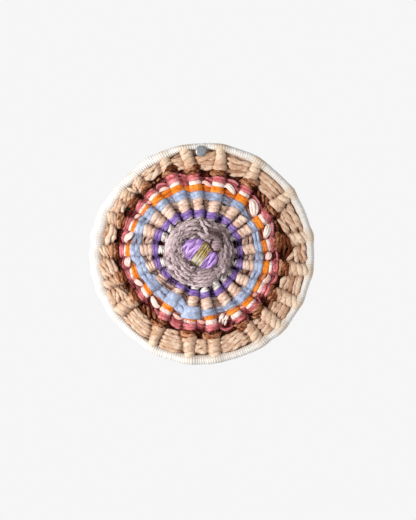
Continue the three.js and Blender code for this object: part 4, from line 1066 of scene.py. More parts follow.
between_ribs(made, 32, "brown", "pink", 2, 6.6, 3.8, 2.6, begin=0.8, end=-1.6, jitter=0.6, shade=0.9, row_shade=(0.15, -0.15), dark_ends=0.15, bow=0.3, sink=1.6,
             plies=2, pitch=20.0, turn=1, sides=7, ridge=0.16, twist=0.12, streak=0.6, lumps=0.14, tone=(0.0, 0.5))
lay(made, 33, PINK_LAID, 1.2, rib_lift=1.0, wider=1.14, dim=0.3, ridge=0.1, twist=0.12, streak=0.5, sides=10)
hairs(made, 34, 1400, between_lines("brown", "pink"), surface, tone=(0.2, 1.0), swing=0.9, shade=0.1, size=(0.08, 0.16))
behind(made, 35, "brown", "pink", 2)
keep(made.mesh("pink_yarn", MAT["pink_weft"]), "pink_weft")

# the fat white pieces between the spokes: width in pixels, rise, how pink they are, shade, places as degrees and radius in pixels
PUFFS = [
    (5.2, 1.8, 0.1, 0, [(17.8, 71.5), (20.5, 73.6), (24, 72.3), (28.8, 69)]),
    (8.4, 2.4, 0.0, 0, [(41.5, 72.5), (44.5, 72.8), (48.5, 70), (54.2, 65.2)]),
    (6.4, 2.2, 0.05, 0, [(64.3, 71.8), (67.2, 72.6), (70.5, 69.8), (75.3, 65.4)]),
    (5.6, 1.8, 0.35, 0, [(87.8, 67.2), (90, 67.6), (92.2, 66.8), (94.6, 65.3)]),
    (4.8, 1.4, 0.45, 0, [(106.3, 70.3), (109.3, 71.2), (112.5, 69.4), (115.6, 66.8)]),
    (3.6, 0.8, 1.0, 0.3, [(124.2, 66.8), (126.6, 67), (129, 66.2)]),
    (3.6, 0.8, 1.0, 0.2, [(139.8, 68.6), (141.8, 67.6), (144.2, 65.8)]),
    (3.6, 2.4, 0.05, 0, [(156.6, 65.6), (158.2, 67.6), (160.2, 69.8)]), (3.4, 2.8, 0.0, 0, [(159.4, 62.6), (161.6, 64.8), (164.4, 66.8)]),
    (2.4, 2.4, 0.05, 0.1, [(160.2, 66.0), (161.8, 69), (163.0, 72.6)]), (2.0, 2.2, 0.1, 0.1, [(158.8, 68.4), (160.4, 72), (162.2, 75.4)]),
    (2.0, 2.2, 0.05, 0.1, [(162.2, 66.4), (164.4, 68.4), (165.4, 70.8)]),
    (4.0, 0.6, 0.9, 0.1, [(176.6, 68.2), (179.6, 67.6), (184, 66)]),
    (3.8, 0.8, 0.7, 0, [(196.4, 66.6), (200, 67.4), (205.6, 65.4)]),
    (5.2, 1.8, 0.15, 0, [(218.6, 66.6), (221.6, 68.2), (225.6, 66.8), (229.8, 64.8)]),
    (4.8, 1.4, 0.4, 0, [(242, 66), (244.6, 68), (247.6, 70.2), (250, 72.2)]),
    (5.8, 2.0, 0.2, 0, [(260.6, 73.2), (263.6, 74.6), (268.2, 72)]),
    (5.4, 2.0, 0.15, 0, [(279.2, 76.2), (281.6, 77), (284.6, 74.2), (288.6, 72)]),
    (3.4, 1.0, 0.75, 0.05, [(298.4, 75.6), (300.6, 75), (303.2, 72.4)]),
    (3.0, 0.8, 0.9, 0.1, [(313, 75.5), (314.6, 74), (316.6, 71.5)]),
    (3.8, 1.2, 0.55, 0, [(325.8, 75.2), (329.4, 75.9), (334.2, 73.8)]),
    (3.9, 1.2, 0.65, 0, [(360.2, 71.6), (362.6, 72.4), (365.6, 70.4), (369, 69)]),
]
made = Made()
over_ribs(made, 41, "pink", "white", 1, 12.0, 7.0, 2.6, tilt=0.3, wide=0.9, jitter=0.25, shade=0.3, ridge=0.08, square=0.75)
between_ribs(made, 42, "pink", "white", 1, 6.6, 3.0, 2.0, jitter=0.3, shade=0.9, pale=0.6)
puffs(made, 43, PUFFS, ridge=0.06, twist=0.1, streak=0.2, sides=12)
behind(made, 45, "pink", "white", 1)
keep(made.mesh("white_yarn", MAT["white_weft"]), "white_weft")

made = Made()
over_ribs(made, 51, "white", "orange", 2, 12.6, 7.4, 2.2, tilt=0.4, jitter=0.15, shade=0.22, ridge=0.04, square=0.6, lap=1.2)
ORANGE_PALE = [0.1, 0.9, 0.9, 0.9, 0.7, 0.9, 0.6, 0.9, 0.8, 0.9, 0.8, 0.9, 0.9, 0.9, 0.9, 0.9, 0.0, 0.1, 0.0]
ORANGE_SHADE = [0.6, 0.6, 0.45, 0.5, 0.25, 0.3, 0.2, 0.4, 0.15, 0.4, 0.6, 0.45, 0.2, 0.3, 0.2, 0.2, 0.3, 0.3, 0.6]
ORANGE_DIP = [8.6, 7.8, 7.8, 7.8, 8.6, 8.4, 8.6, 7.8, 8.6, 7.8, 7.8, 8.0, 8.4, 8.2, 8.4, 8.4, 9.4, 9.4, 8.8]
between_ribs(made, 52, "white", "orange", 2, ORANGE_DIP, 2.9, 2.2, jitter=0.4, shade=ORANGE_SHADE, pale=ORANGE_PALE, dark_ends=0.3, ridge=0.1,
             streak=0.5)
behind(made, 55, "white", "orange", 2)
keep(made.mesh("orange_yarn", MAT["orange_weft"]), "orange_weft")

BLUE_SHADE = [0.65, 0.35, 0.0, 0.25, 0.1, 0.15, 0.3, 0.5, 0.6, 0.05, 0.2, 0.0, 0.0, 0.5, 0.3, 0.5, 0.5, 0.5, 0.5]
BLUE_DIP = [9.4, 9.8, 11.6, 10.6, 11.2, 10.8, 10.2, 9.6, 9.4, 11.8, 10.6, 12.0, 12.2, 9.6, 10.0, 9.6, 9.6, 9.6, 9.6]
BLUE_WIDE = [1.0] * N
BLUE_WIDE[9], BLUE_WIDE[10] = 1.6, 1.25
BLUE_TOP = [13.2] * N
BLUE_TOP[2:7] = [13.6, 13.8, 13.8, 13.8, 13.5]
BLUE_TOP[9], BLUE_TOP[10] = 14.4, 13.8
made = Made()
over_ribs(made, 61, "orange", "blue", 2, BLUE_TOP, 8.2, 3.2, tilt=0.6, wide=BLUE_WIDE, jitter=0.3, shade=0.26, ridge=0.03, streak=0.2, mottle=0.5, bumpy=0.1, cell=2.2, square=0.7, lap=1.26)
between_ribs(made, 62, "orange", "blue", 2, BLUE_DIP, 5.0, 3.6, jitter=0.5, shade=BLUE_SHADE, dark_ends=0.25, sink=2.0, ridge=0.04, streak=0.2, mottle=0.5, cell=2.2)
hairs(made, 64, 1300, between_lines("orange", "blue"), surface, tone=(0.3, 1.0), swing=1.1, span=(2.0, 5.0), size=(0.07, 0.14))
behind(made, 65, "orange", "blue", 2)
keep(made.mesh("blue_yarn", MAT["blue_weft"]), "blue_weft")

made = Made()
SAND_SHADE = [0.4, 0.95, 0.4, 0.4, 0.65, 0.95, 0.8, 0.6, 0.9, 0.75, 0.3, 0.5, 0.2, 0.25, 0.35, 0.6, 0.5, 0.5, 0.65]
over_ribs(made, 71, "blue", "sand", 3, 13.8, 7.8, 3.2, tilt=2.6, short=True, jitter=0.6, shade=0.8, ridge=0.08, lap=1.2, tone=(0.2, 0.85),
          streak=0.45, lumps=0.08)
between_ribs(made, 72, "blue", "sand", 3, 8.8, 3.8, 3.0, short=True, jitter=1.0, shade=SAND_SHADE, dark_ends=0.5, begin=0.8, end=-0.8, plies=2,
             pitch=12.0, turn=1, sides=8, ridge=0.1)
hairs(made, 74, 400, between_lines("blue", "sand"), surface, tone=(0.2, 0.9))
behind(made, 75, "blue", "sand", 3)
keep(made.mesh("sand_yarn", MAT["sand_weft"]), "sand_weft")

made = Made()
# painted shade: the violet turns and runs darker on the right side, away from the light
VIOLET_SHADE_RIGHT = [0.12, 0.2, 0.32, 0.4, 0.42, 0.38, 0.28, 0.16, 0.06, 0.0, 0.0, 0.0, 0.0, 0.0, 0.0, 0.0, 0.04, 0.05, 0.06]
over_ribs(made, 81, "sand", "violet", 2, 13.6, 8.6, 2.6, tilt=0.8, wide=1.12, short=True, jitter=0.3, shade=0.75, ridge=0.05, dim=VIOLET_SHADE_RIGHT)
between_ribs(made, 82, "sand", "violet", 2, 9.4, 3.0, 2.3, short=True, jitter=0.6, shade=[min(1.0, 0.8 + d) for d in VIOLET_SHADE_RIGHT], dark_ends=0.3)
hairs(made, 84, 300, between_lines("sand", "violet"), surface, tone=(0.2, 0.9))
behind(made, 85, "sand", "violet", 2)
keep(made.mesh("violet_yarn", MAT["violet_weft"]), "violet_weft")

# painted shade: the metal turns darker on the right side, away from the light
METAL_SHADE_RIGHT = [0.3, 0.5, 0.65, 0.75, 0.75, 0.7, 0.5, 0.3, 0.0, 0.0, 0.0, 0.0, 0.0, 0.0, 0.05, 0.15, 0.2, 0.15, 0.15]
made = Made()
over_ribs(made, 91, "violet", "coil", 3, 14.6, 9.0, 1.7, tilt=1.8, short=True, jitter=0.8, shade=0.4, sides=8, tone=(0.35, 1.0), streak=0.6,
          mottle=0.8, cell=1.3, lap=1.2, lumps=0.12, dim=METAL_SHADE_RIGHT)
between_ribs(made, 92, "violet", "coil", 1, 7.6, 2.0, 1.4, short=True, jitter=0.3, shade=1.0, dark_ends=0.0, sides=6)
behind(made, 95, "violet", "coil", 1)
keep(made.mesh("metal_yarn", MAT["metal_thread"]), "metal_thread")


# ------------------------------------------------------------------ the wrapped hoop
def hoop():
    made, rng = Made(), seeded(21)
    middle, pitch = 96.5, 2.15
    turns = int(2 * math.pi * middle / pitch)
    per = 22
    n = turns * per
    t = np.arange(n) / per
    a = 2 * math.pi * t / turns
    out, inn = line_at("hoopOut", a), line_at("hoopIn", a)
    d, near = nearest_rib(a, np.full(n, middle))
    lump = np.interp(t, np.arange(turns + 1), np.append(rng.normal(0, 1, turns), 0.0))
    left = ease((np.cos(a - math.radians(275)) + 0.1) / 0.9)
    slow = sum(np.sin(f * a + p) for f, p in ((5, 0.4), (11, 2.0), (17, 4.4), (29, 1.1))) / 4
    bump = np.exp(-(np.abs(d) / 5.6) ** 2.6)
    out = np.interp(np.degrees(a), np.arange(73) * 5.0, EDGE + EDGE[:1]) * PIXEL - 0.85 + 0.07 * lump + 0.12 * slow
    inn = inn + 0.4 + 0.06 * lump
    wide = out - inn
    crown = 7.8 + 0.2 * left + 0.05 * lump + (1.3 - 0.6 * left) * bump
    apart = np.abs(np.cos(a)) ** 1.5 * (0.6 + 0.4 * left)
    zero = np.zeros(n)
    ring = np.stack([
        np.stack([out + zero, 4.4 + zero], 1),
        np.stack([out - 1.0, crown - 1.5 + 0.3 * (1 - left)], 1),
        np.stack([out - np.minimum(3.2, wide * 0.46), crown], 1),
        np.stack([inn + wide * (0.16 + 0.06 * left), crown - 0.3 - 0.7 * left - np.clip(wide - 7, 0, 6) * 0.26], 1),
        np.stack([inn + zero, 4.2 + zero], 1),
        np.stack([inn + 1.0, 1.4 + zero], 1),
        np.stack([(out + inn) / 2, 0.9 + zero], 1),
        np.stack([out - 1.0, 1.5 + zero], 1),
    ], axis=1)
    u = np.mod(t, 1.0) * 8
    i = np.floor(u).astype(int)
    f = (u - i)[:, None]
    rows = np.arange(n)
    p0, p1, p2, p3 = (ring[rows, (i + o) % 8] for o in (-1, 0, 1, 2))
    at_rh = 0.5 * (2 * p1 + (p2 - p0) * f + (2 * p0 - 5 * p1 + 4 * p2 - p3) * f ** 2 + (3 * p1 - p0 - 3 * p2 + p3) * f ** 3)
    path = place(a, at_rh[:, 0], at_rh[:, 1])
    seam = np.linalg.norm(np.roll(path, -1, axis=0) - path, axis=1)
    at = np.concatenate([[0], np.cumsum(seam)[:-1]])
    along_hoop = np.stack([np.cos(a), np.zeros(n), -np.sin(a)], axis=1)
    # painted shade: the inner slope darker, more on the left where it turns from the light, and the right side greyer
    # all over
    shade = np.clip(ease((inn + wide * 0.6 - at_rh[:, 0]) / 5.0) * (0.55 + 0.35 * left) + 0.34 * (1 - left), 0, 1)
    each = np.interp(t, np.arange(turns + 1), rng.uniform(0, 1, turns + 1))
    bands = np.convolve(rng.normal(0, 1, turns + 4), (0.25, 0.5, 0.25), "same")[1:turns + 2]
    # more painted shade on the inner half on the right and at the bottom; the hoop also darker towards the bottom, and
    # its turns vary in random bands
    inner = np.interp(np.degrees(a), (0, 20, 160, 200, 225, 245, 285, 310, 345, 360), (0.7, 1, 1, 0.9, 0.75, 0.2, 0.1, 0.5, 0.5, 0.7))
    shade = np.clip(shade + 0.34 * inner * ease((out - at_rh[:, 0] - 3.0) / 1.8) + 0.12 * ease((-np.cos(a) - 0.4) / 0.5) + 0.07 * np.clip(np.interp(t, np.arange(turns + 1), bands), -1, 2), 0, 1)
    # beige over the spoke ends, less on the left and at the bottom: partly painted shade where the wrap bulges and
    # turns from the light, partly the tan beneath showing through
    low = ease((-np.cos(a) - 0.5) / 0.4)
    pale = np.clip(bump * (1 - 0.75 * left) * (1 - 0.7 * low) * (0.75 + 0.3 * ease((at_rh[:, 0] - out + 5) / 4)) + 0.12 * each, 0, 1)
    yarn(made, rng, path, at, seam.sum(), along_hoop, True, 3.5, 1.7, sides=8, square=0.7, wide=1 - 0.3 * apart * (0.6 + 0.4 * each), ridge=0.0, twist=0.0, tone=0.5, streak=0.0,
         shade=shade, pale=pale, lumps=0.0, mottle=0.1, bumpy=0.02)
    return keep(made.mesh("hoop_cord", MAT["hoop_wrap"]), "hoop_wrap")


hoop()


# ------------------------------------------------------------------ the coil at the hub
HOLLOW = (17.2, 11.4, math.radians(126))


def hollow_edge(a):
    t = a - HOLLOW[2]
    return HOLLOW[0] * HOLLOW[1] / np.hypot(HOLLOW[1] * np.cos(t), HOLLOW[0] * np.sin(t))


def hub_point(x, z, h):
    """A place given in pixels of the photograph right of and above the hub, and a height."""
    return (HUB_X + x * PIXEL, -h, HUB_Z + z * PIXEL)


def wool_height(x, z):
    """The height of the coil's back, for millimetres from the hub."""
    a, r = np.arctan2(x, z), np.hypot(x, z)
    edge, hole = coil_edge(a), hollow_edge(a)
    share = np.clip((edge - r) / (edge - hole), -0.1, 1.0)
    return 12.2 + 5.2 * np.sin(math.pi * np.clip(0.12 + share * 0.74, 0, 1)) ** 0.8


# locks of wool that lie on the coil: points in pixels right of and above the hub, lift, width, strands, tone, shade
LOCKS = [
    ([(-35.4, -1.7), (-34.5, 6.9), (-32.3, 14.4), (-28.0, 20.6), (-23.0, 25.7)], 0.4, 3.2, 2, 0.9, 0.0),
    ([(-32.3, -5.2), (-32.3, 3.1), (-30.5, 11.2), (-26.1, 17.5), (-20.5, 22.5)], 0.7, 3.4, 2, 0.75, 0.0),
    ([(-34.8, -5.2), (-32.3, -10.4), (-27.3, -13.9), (-23.0, -15.0)], 0.5, 3.4, 2, 0.9, 0.0),
    ([(-29.8, 8.1), (-29.2, 0.6), (-26.8, -6.3), (-22.4, -10.9)], 0.8, 3.2, 2, 0.6, 0.1),
    ([(-23.6, 23.2), (-17.5, 28.1), (-11.2, 30.0), (-4.4, 30.0)], 0.6, 3.6, 2, 0.75, 0.05),
    ([(-18.7, 21.9), (-12.4, 25.0), (-6.3, 26.3), (-0.7, 25.0)], 0.9, 3.4, 2, 0.6, 0.1),
    ([(-20.5, 16.9), (-15.6, 20.1), (-9.4, 21.9), (-3.1, 21.9)], 0.7, 3.0, 2, 0.5, 0.2),
    ([(-14.0, 31.6), (-7.5, 33.5), (-1.0, 33.5)], 0.2, 3.0, 2, 0.6, 0.1),
    ([(-1.3, 34.9), (1.0, 30.0), (4.1, 25.7), (5.9, 21.3), (7.4, 18.5)], 1.9, 3.0, 2, 0.85, 0.0),
    ([(1.0, 34.4), (4.1, 31.3), (7.6, 28.8), (11.1, 26.9)], 1.2, 3.0, 2, 0.7, 0.05),
    ([(-2.9, 20.1), (1.7, 18.6), (3.8, 15.4)], 1.3, 3.4, 2, 0.95, 0.0),
    ([(11.7, 26.3), (17.0, 24.4), (21.8, 20.6), (24.7, 15.6), (26.4, 10.0)], 0.6, 3.4, 2, 0.45, 0.25),
    ([(8.7, 24.4), (14.1, 23.8), (18.7, 21.9), (22.9, 17.5)], 1.2, 3.0, 2, 0.25, 0.4),
    ([(4.1, 20.6), (8.7, 21.9), (14.1, 21.3), (18.7, 18.7), (21.8, 14.4)], 1.5, 2.8, 2, 0.2, 0.5),
    ([(4.7, 16.9), (8.7, 18.7), (13.5, 18.2), (17.6, 15.6), (19.4, 11.2)], 1.9, 2.8, 2, 0.35, 0.35),
    ([(6.4, 14.4), (9.4, 16.3), (12.9, 16.3), (16.3, 13.8), (17.3, 9.6)], 1.8, 2.6, 2, 0.4, 0.3),
    ([(9.7, 30.2), (14.9, 28.8), (20.2, 25.5), (24.2, 20.8)], 0.2, 3.0, 2, 0.5, 0.2),
    ([(26.4, 13.1), (28.7, 6.9), (28.9, 0.6), (27.4, -5.2)], 0.3, 3.2, 2, 0.65, 0.15),
    ([(22.3, 13.1), (24.0, 6.9), (24.2, 0.6), (22.5, -5.2), (19.4, -10.4)], 0.9, 3.2, 2, 0.5, 0.2),
    ([(18.7, 10.7), (20.5, 5.6), (20.2, -0.6), (18.2, -6.3), (15.2, -10.9)], 1.0, 3.0, 2, 0.4, 0.3),
    ([(26.0, -2.0), (25.1, -7.3), (22.4, -12.0)], 0.5, 3.0, 2, 0.45, 0.25),
    ([(-4.4, -15.0), (1.0, -14.4), (7.0, -13.2), (12.9, -11.5)], 0.6, 2.8, 2, 0.55, 0.2),
    ([(-5.7, -17.4), (1.0, -16.9), (8.2, -15.9), (14.7, -13.4)], 0.9, 3.0, 2, 0.45, 0.25),
    ([(-8.2, -20.2), (-0.7, -20.3), (7.6, -19.2), (15.9, -16.1)], 0.9, 3.0, 2, 0.5, 0.2),
    ([(-10.6, -22.5), (-3.1, -23.6), (6.4, -22.7), (15.9, -19.0)], 0.6, 3.0, 2, 0.6, 0.1),
    ([(-11.2, -24.7), (-3.1, -26.9), (6.4, -26.0), (14.7, -23.1)], 0.3, 3.2, 2, 0.75, 0.05),
    ([(-4.4, -28.9), (4.1, -29.3), (11.4, -27.3)], 0.0, 2.8, 2, 0.85, 0.0),
    ([(-15.5, -28.0), (-9.5, -30.2), (-3.0, -31.2), (4.5, -31.2), (10.5, -29.8)], 0.3, 3.0, 2, 0.9, 0.05),
    ([(-27.6, -14.0), (-24.0, -19.6), (-19.0, -25.0), (-14.0, -28.4)], 0.3, 3.0, 2, 0.85, 0.0),
    ([(13.0, 31.2), (19.5, 28.4), (25.0, 23.4), (28.8, 17.0)], 0.1, 2.8, 2, 0.5, 0.2),
    ([(29.4, 12.6), (31.4, 6.0), (31.6, -1.0), (29.8, -7.6)], 0.0, 2.6, 2, 0.5, 0.25),
    ([(-24.0, 25.6), (-17.6, 30.6), (-10.6, 33.4)], 0.2, 2.6, 2, 0.7, 0.05),
    ([(-21.2, -10.4), (-18.0, -14.4), (-14.3, -17.8), (-10.0, -21.3)], 1.3, 3.2, 2, 0.7, 0.05),
    ([(-19.9, -6.3), (-16.4, -10.4), (-13.3, -13.9), (-10.0, -16.7)], 1.2, 3.0, 2, 0.5, 0.2),
    ([(-23.6, 0.6), (-20.8, -4.0), (-17.1, -8.7), (-13.1, -12.6)], 0.9, 3.0, 2, 0.45, 0.25),
    ([(-23.0, -14.4), (-19.9, -18.5), (-16.2, -21.9), (-11.9, -24.7)], 0.5, 3.2, 2, 0.7, 0.05),
    ([(-26.8, 3.1), (-25.5, -2.9), (-22.2, -8.7), (-18.1, -13.2)], 0.9, 3.0, 2, 0.55, 0.15),
    ([(-21.4, 5.6), (-23.9, 10.7), (-22.6, 15.6), (-18.7, 19.4)], 1.0, 2.8, 2, 0.4, 0.35),
    ([(-26.8, 3.1), (-27.5, 9.3), (-25.6, 14.4), (-21.7, 18.7)], 0.8, 3.0, 2, 0.5, 0.15),
    ([(19.4, -19.0), (21.8, -15.8), (24.3, -13.1)], 0.8, 3.8, 2, 0.95, 0.0),
]


def coil():
    made, rng = Made(), seeded(31)
    # arcs of loosely spun wool in three layers
    for layer, count, low in ((0, 26, 5.5), (1, 40, 2.8), (2, 56, 1.2)):
        for i in range(count):
            middle = 2 * math.pi * (i + rng.uniform(-0.4, 0.4)) / count * (1 + 2 * layer)
            span = rng.uniform(0.35, 0.75)
            share = rng.uniform(0.02, 0.98) if layer else (i % 5 + 0.5) / 5
            drift = rng.uniform(-0.22, 0.22)
            points = []
            for f in (0.0, 0.25, 0.5, 0.75, 1.0):
                a = middle + span * (f - 0.5)
                edge, hole = coil_edge(a), hollow_edge(a)
                r = hole + 1.0 + (edge - 0.5 - hole) * np.clip(share + drift * (f - 0.5), 0.0, 1.0)
                x, z = r * math.sin(a), r * math.cos(a)
                points.append((HUB_X + x, -(wool_height(x, z) - low - 0.9 * abs(2 * f - 1) ** 3 + rng.normal(0, 0.25)), HUB_Z + z))
            path, at, total = smooth(np.array(points), 1.3, False)
            thick = rng.uniform(2.8, 3.8) if layer else 4.4
            # painted shade: the lower layers darker, and the wool darker towards the upper right, away from the light
            dim = (0.66, 0.46, 0.24)[layer] + 0.3 * math.cos(middle - math.radians(65))
            rope(made, rng, path, at, total, radial(path), False, thick, thick * 0.85, plies=2 if layer else 1, pitch=rng.uniform(7, 11), turn=1,
                 sides=8, ridge=0.1, twist=0.12, tone=(0.15, 0.85), streak=0.4, shade=np.clip(dim, 0, 1), ends=0.6, lumps=0.16, bumpy=0.16,
                 cell=1.4, mottle=0.5)
    # rounds under the bundle, darkened as painted shade in the hollow
    for rr, hh in ((14.0, 6.4), (9.0, 6.0), (4.0, 5.6)):
        a = np.arange(60) * 2 * math.pi / 60
        path, at, total = smooth(place(a, np.full(60, rr), np.full(60, hh)), 2.2, True)
        yarn(made, rng, path, at, total, radial(path), True, 5.6, 3.6, sides=8, shade=0.6)
    # the windings at the back
    for j, share in enumerate((0.93, 0.77, 0.61, 0.45, 0.29, 0.13)):
        a = np.arange(60) * 2 * math.pi / 60
        path, at, total = smooth(place(a, coil_edge(a) * share, 4.0 + 0.25 * np.sin(5 * a + 2 * j)), 2.0, True)
        yarn(made, rng, path, at, total, radial(path), True, 5.2, 4.2, sides=10, shade=0.2, ridge=0.1, bumpy=0.14, cell=1.6, mottle=0.5)
    for points, lift, width, strands, tone, dim in LOCKS:
        p = np.array(points)
        p = np.column_stack([p, wool_height(p[:, 0] * PIXEL, p[:, 1] * PIXEL) + lift])
        p[0, 2] -= 1.3
        p[-1, 2] -= 1.3
        path, at, total = smooth(np.array([hub_point(*q) for q in p]), 0.9, False)
        side = np.cross(unit(np.gradient(path, axis=0)), [0.0, -1.0, 0.0])
        mx, mz = p[:, 0].mean(), p[:, 1].mean()
        # painted shade: locks darker towards the right, away from the light, and darker above the knob
        right = float(ease((mx + 4) / 16)) * 0.24 + 0.25 * math.exp(-((mx - 12) ** 2 + (mz - 20) ** 2) / 90)
        if mx < -24:
            width, strands = width * 1.3, 1
        rope(made, rng, path, at, total, side, False, width * 1.06, width * 0.9, plies=strands, pitch=rng.uniform(8, 12), turn=1, sides=10,
             ridge=0.1, twist=0.15, tone=(max(0, tone - 0.2), min(1, tone + 0.2)), streak=0.4, shade=min(1.0, dim + right), ends=0.55,
             lumps=0.14, bumpy=0.16, cell=1.4, mottle=0.5)
    # short tufts that lie across the rest
    for _ in range(95):
        a = rng.uniform(0, 2 * math.pi)
        edge, hole = float(coil_edge(a)), float(hollow_edge(a))
        r = hole + 1.6 + (edge - hole - 3.2) * rng.uniform(0, 1)
        head = a + math.pi / 2 + rng.normal(0, 0.55)
        bend, reach = rng.normal(0, 0.35), rng.uniform(2.4, 4.4)
        f = np.array([-1.0, -0.4, 0.4, 1.0])
        x = r * math.sin(a) + reach * f * np.sin(head + bend * f)
        z = r * math.cos(a) + reach * f * np.cos(head + bend * f)
        h = wool_height(x, z) + rng.uniform(0.3, 1.0)
        h[0], h[-1] = h[0] - 1.4, h[-1] - 1.4
        path, at, total = smooth(np.column_stack([HUB_X + x, -h, HUB_Z + z]), 0.9, False)
        side = np.cross(unit(np.gradient(path, axis=0)), [0.0, -1.0, 0.0])
        width, tone = rng.uniform(2.0, 3.0), rng.uniform(0.2, 0.95)
        # painted shade: tufts darker towards the upper right, away from the light
        rope(made, rng, path, at, total, side, False, width, width * 0.8, plies=2, pitch=rng.uniform(6, 9), turn=1, sides=8, ridge=0.1,
             twist=0.15, tone=(tone - 0.15, min(1, tone + 0.15)), streak=0.6, shade=np.clip(0.16 + 0.36 * math.cos(a - math.radians(75)), 0, 1),
             ends=0.7, lumps=0.16, bumpy=0.16, cell=1.1, mottle=0.5)
    # the knob: a small ball of the same wool that stands out at the upper right, with painted shade towards the ends of
    # its strands
    for j, (dz, reach, lift) in enumerate(((-3.9, 3.8, -0.6), (-1.7, 5.6, 0.5), (0.7, 5.6, 0.6), (3.0, 4.4, 0.0))):
        points = [(15.2 - reach, 9.4 + dz - 0.7, 16.6 + lift), (15.2 - reach * 0.55, 9.4 + dz, 18.6 + lift), (15.2, 9.4 + dz + 0.3, 19.4 + lift),
                  (15.2 + reach * 0.55, 9.4 + dz, 18.6 + lift), (15.2 + reach, 9.4 + dz - 0.7, 16.6 + lift)]
        path, at, total = smooth(np.array([hub_point(*q) for q in points]), 0.8, False)
        side = np.cross(unit(np.gradient(path, axis=0)), [0.0, -1.0, 0.0])
        yarn(made, rng, path, at, total, side, False, 3.0, 2.8, sides=12, ridge=0.1, tone=0.08 + 0.12 * j, streak=0.5, ends=0.5, bumpy=0.14,
             shade=np.clip(0.26 + 0.8 * np.abs(2 * at / total - 1) ** 2.2, 0, 1), cell=1.2, mottle=0.6)
    # a dark ring of yarn round the knob: a painted shadow
    t = np.arange(24) * 2 * math.pi / 24
    path, at, total = smooth(np.column_stack([HUB_X + 15.2 * PIXEL + 6.0 * np.cos(t), np.full(24, -17.8), HUB_Z + 9.0 * PIXEL + 5.7 * np.sin(t)]), 1.2, True)
    yarn(made, rng, path, at, total, unit(path - path.mean(axis=0)), True, 2.1, 2.0, sides=8, shade=1.0, tone=0.0, ridge=0.1, bumpy=0.16)
    def on_wool(rng, n):
        a = rng.uniform(0, 2 * math.pi, n)
        edge, hole = coil_edge(a), hollow_edge(a)
        return a, hole + (edge + 0.8 - hole) * rng.uniform(0, 1, n)

    hairs(made, 32, 1500, on_wool, lambda a, r: wool_height(r * np.sin(a), r * np.cos(a)) + 0.6, tone=(0.1, 1.0), swing=0.9,
          span=(2.5, 7.0), rise=(0.3, 1.6))
    return keep(made.mesh("mauve_wool", MAT["mauve_coil"]), "mauve_coil")


coil()


# ------------------------------------------------------------------ the bound bundle in the hub
def on_hank(along, across, h):
    t = HOLLOW[2]
    along, across, h = np.broadcast_arrays(np.asarray(along, float), across, h)
    return np.stack([HUB_X + along * math.sin(t) - across * math.cos(t), -h, HUB_Z + along * math.cos(t) + across * math.sin(t)], axis=-1)


HANK = dict(along=[-18.4, -17.4, -15.8, -13.6, -10.0, -5.5, 0.0, 5.5, 9.0, 11.8, 14.0, 15.8],
            half=[4.6, 7.2, 9.0, 10.2, 11.0, 11.2, 11.0, 11.2, 11.0, 9.6, 6.8, 3.6],
            low=[12.8, 12.2, 11.6, 11.0, 10.8, 10.8, 10.8, 10.8, 10.8, 11.2, 12.0, 12.8],
            top=[15.0, 16.2, 17.2, 18.0, 18.8, 19.0, 18.8, 19.0, 18.6, 17.6, 16.2, 14.8])


def wound(made, rng, s, lean, out, width, thick, tone, pale=None, shade=0.0, bow=0.0, dark=0.0, **spun):
    """One turn of yarn around the bundle at a place along it."""
    half = np.interp(s, HANK["along"], HANK["half"]) + out
    low, top = np.interp(s, HANK["along"], HANK["low"]) - out, np.interp(s, HANK["along"], HANK["top"]) + out
    t = np.arange(26) * 2 * math.pi / 26
    c, n = np.cos(t), np.sin(t)
    across = half * np.sign(c) * np.abs(c) ** 0.85
    h = (low + top) / 2 + (top - low) / 2 * np.sign(n) * np.abs(n) ** 0.75
    path, at, total = smooth(np.hstack([on_hank(s + lean * c + bow * (0.5 - c ** 2), across, h), across[:, None]]), 1.0, True)
    side = np.tile(on_hank(1.0, 0.0, 0.0) - on_hank(0.0, 0.0, 0.0), (len(path), 1))
    # painted highlight, where the caller gives one: the gold threads' glints
    painted_glint = pale(path[:, 3]) if pale else 0.0
    # painted shade: darker where the turn goes round the bundle's sides; dark also makes it darker towards the
    # lower-left end
    dim = shade + 0.55 * ease((np.abs(path[:, 3]) / half - 0.75) / 0.25) + dark * ease((-path[:, 3] / half - 0.72) / 0.28)
    rope(made, rng, path[:, :3], at, total, side, True, width, thick, tone=(tone, tone + 0.12), pale=painted_glint, shade=np.clip(dim, 0, 1), **spun)


def hank():
    made, rng = Made(), seeded(41)
    for s, bow, lean, width in ((-14.9, -2.6, 1.2, 3.8), (-11.6, -1.8, 1.4, 4.2), (-8.2, -0.8, 1.2, 4.0), (-5.6, 0.0, 0.6, 3.0),
                                (5.8, 0.4, 0.0, 3.0), (8.2, 2.0, 1.0, 3.9), (11.0, 4.4, 2.0, 4.0)):
        wound(made, rng, s, lean + rng.normal(0, 0.2), -1.1, width, 3.2, rng.uniform(0.4, 0.65), bow=bow, sides=12, ridge=0.08, twist=0.03,
              streak=0.25, lumps=0.1, mottle=0.25, bumpy=0.08, cell=1.6, plies=2, pitch=rng.uniform(14, 20))
    # darker rounds under the turns: painted shade in the gaps between them
    for s in np.arange(-13.2, 13.3, 2.9):
        wound(made, rng, s, 0.0, -3.2, 3.4, 3.0, 0.2, shade=0.5, sides=8, plies=1)
    piece = keep(made.mesh("lilac_hank", MAT["lilac_pad"]), "lilac_pad")
    return piece


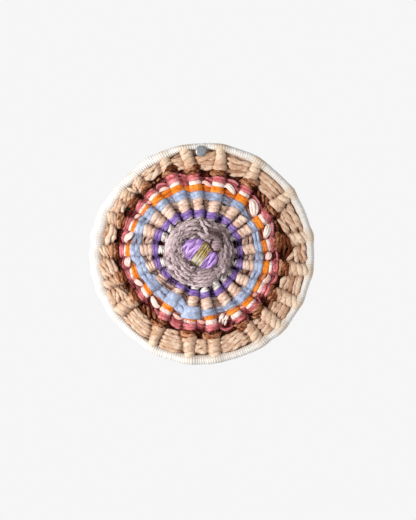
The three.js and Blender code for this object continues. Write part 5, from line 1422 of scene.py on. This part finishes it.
def binding():
    made, rng = Made(), seeded(51)
    count = 12
    for j in range(count):
        share = (j + 0.5) / count
        s = -4.5 + 9.3 * share + rng.normal(0, 0.12)
        # painted highlight: a white glint on each thread towards the lower left
        glint_strength, middle, reach = rng.uniform(0.3, 1.0), rng.uniform(-8.5, -3.5), rng.uniform(2.2, 4.4)
        wound(made, rng, s, -0.7 * share + rng.normal(0, 0.2), 0.15 + 0.2 * (j % 2), 0.86, 1.05, rng.uniform(0.1, 0.75), dark=0.9, sides=8, ridge=0.05,
              streak=0.3, mottle=0.5, bumpy=0.05, cell=1.0, twist=0.1, plies=1,
              pale=lambda v: glint_strength * np.exp(-((v - middle) / reach) ** 2))
    # dark rounds under the threads: painted shade in the lines between them
    for s in np.arange(-4.4, 4.5, 1.76):
        wound(made, rng, s, 0.0, -0.9, 2.0, 1.6, 0.05, shade=0.9, sides=8, plies=1)
    return keep(made.mesh("gold_thread", MAT["gold_binding"]), "gold_binding")


hank()
binding()


# ------------------------------------------------------------------ the nail
def nail():
    made = Made()
    profile = [(0.0, -20.0), (0.35, -19.2), (0.95, -17.4), (1.36, -16.0), (1.42, -15.4), (1.42, 5.0), (1.5, 6.0), (1.42, 6.4), (1.5, 7.0),
               (1.42, 7.4), (1.5, 8.0), (1.42, 8.4), (1.5, 9.6), (1.9, 10.1), (4.3, 10.1), (4.75, 10.25), (4.98, 10.6), (4.9, 10.95),
               (4.5, 11.25), (3.6, 11.42), (2.0, 11.5), (0.0, 11.5)]
    sides = 40
    t = np.arange(sides) * 2 * math.pi / sides
    uneven = 1 + 0.022 * np.sin(3 * t + 0.8) + 0.012 * np.sin(7 * t + 2.0) + 0.01 * np.cos(11 * t)
    rings = []
    for r, h in profile[1:-1]:
        k = uneven if r > 1.8 else 1.0
        dent = 0.05 * np.sin(2 * t + 1.0) if h > 11.2 else 0.0
        rings.append(np.stack([r * k * np.cos(t), -(h + dent) + 0 * t, r * k * np.sin(t)], axis=1))
    points = np.concatenate(rings + [np.array([[0, 20.0, 0]]), np.array([[0, -11.5, 0]])])
    m = len(rings)
    quads = tube_faces(m, sides, False)
    caps = cap_faces(m, sides)
    made.add(points, quads[:, ::-1], caps[:, ::-1])
    return keep(made.mesh("steel_nail", nail_material()), "nail")


nail()
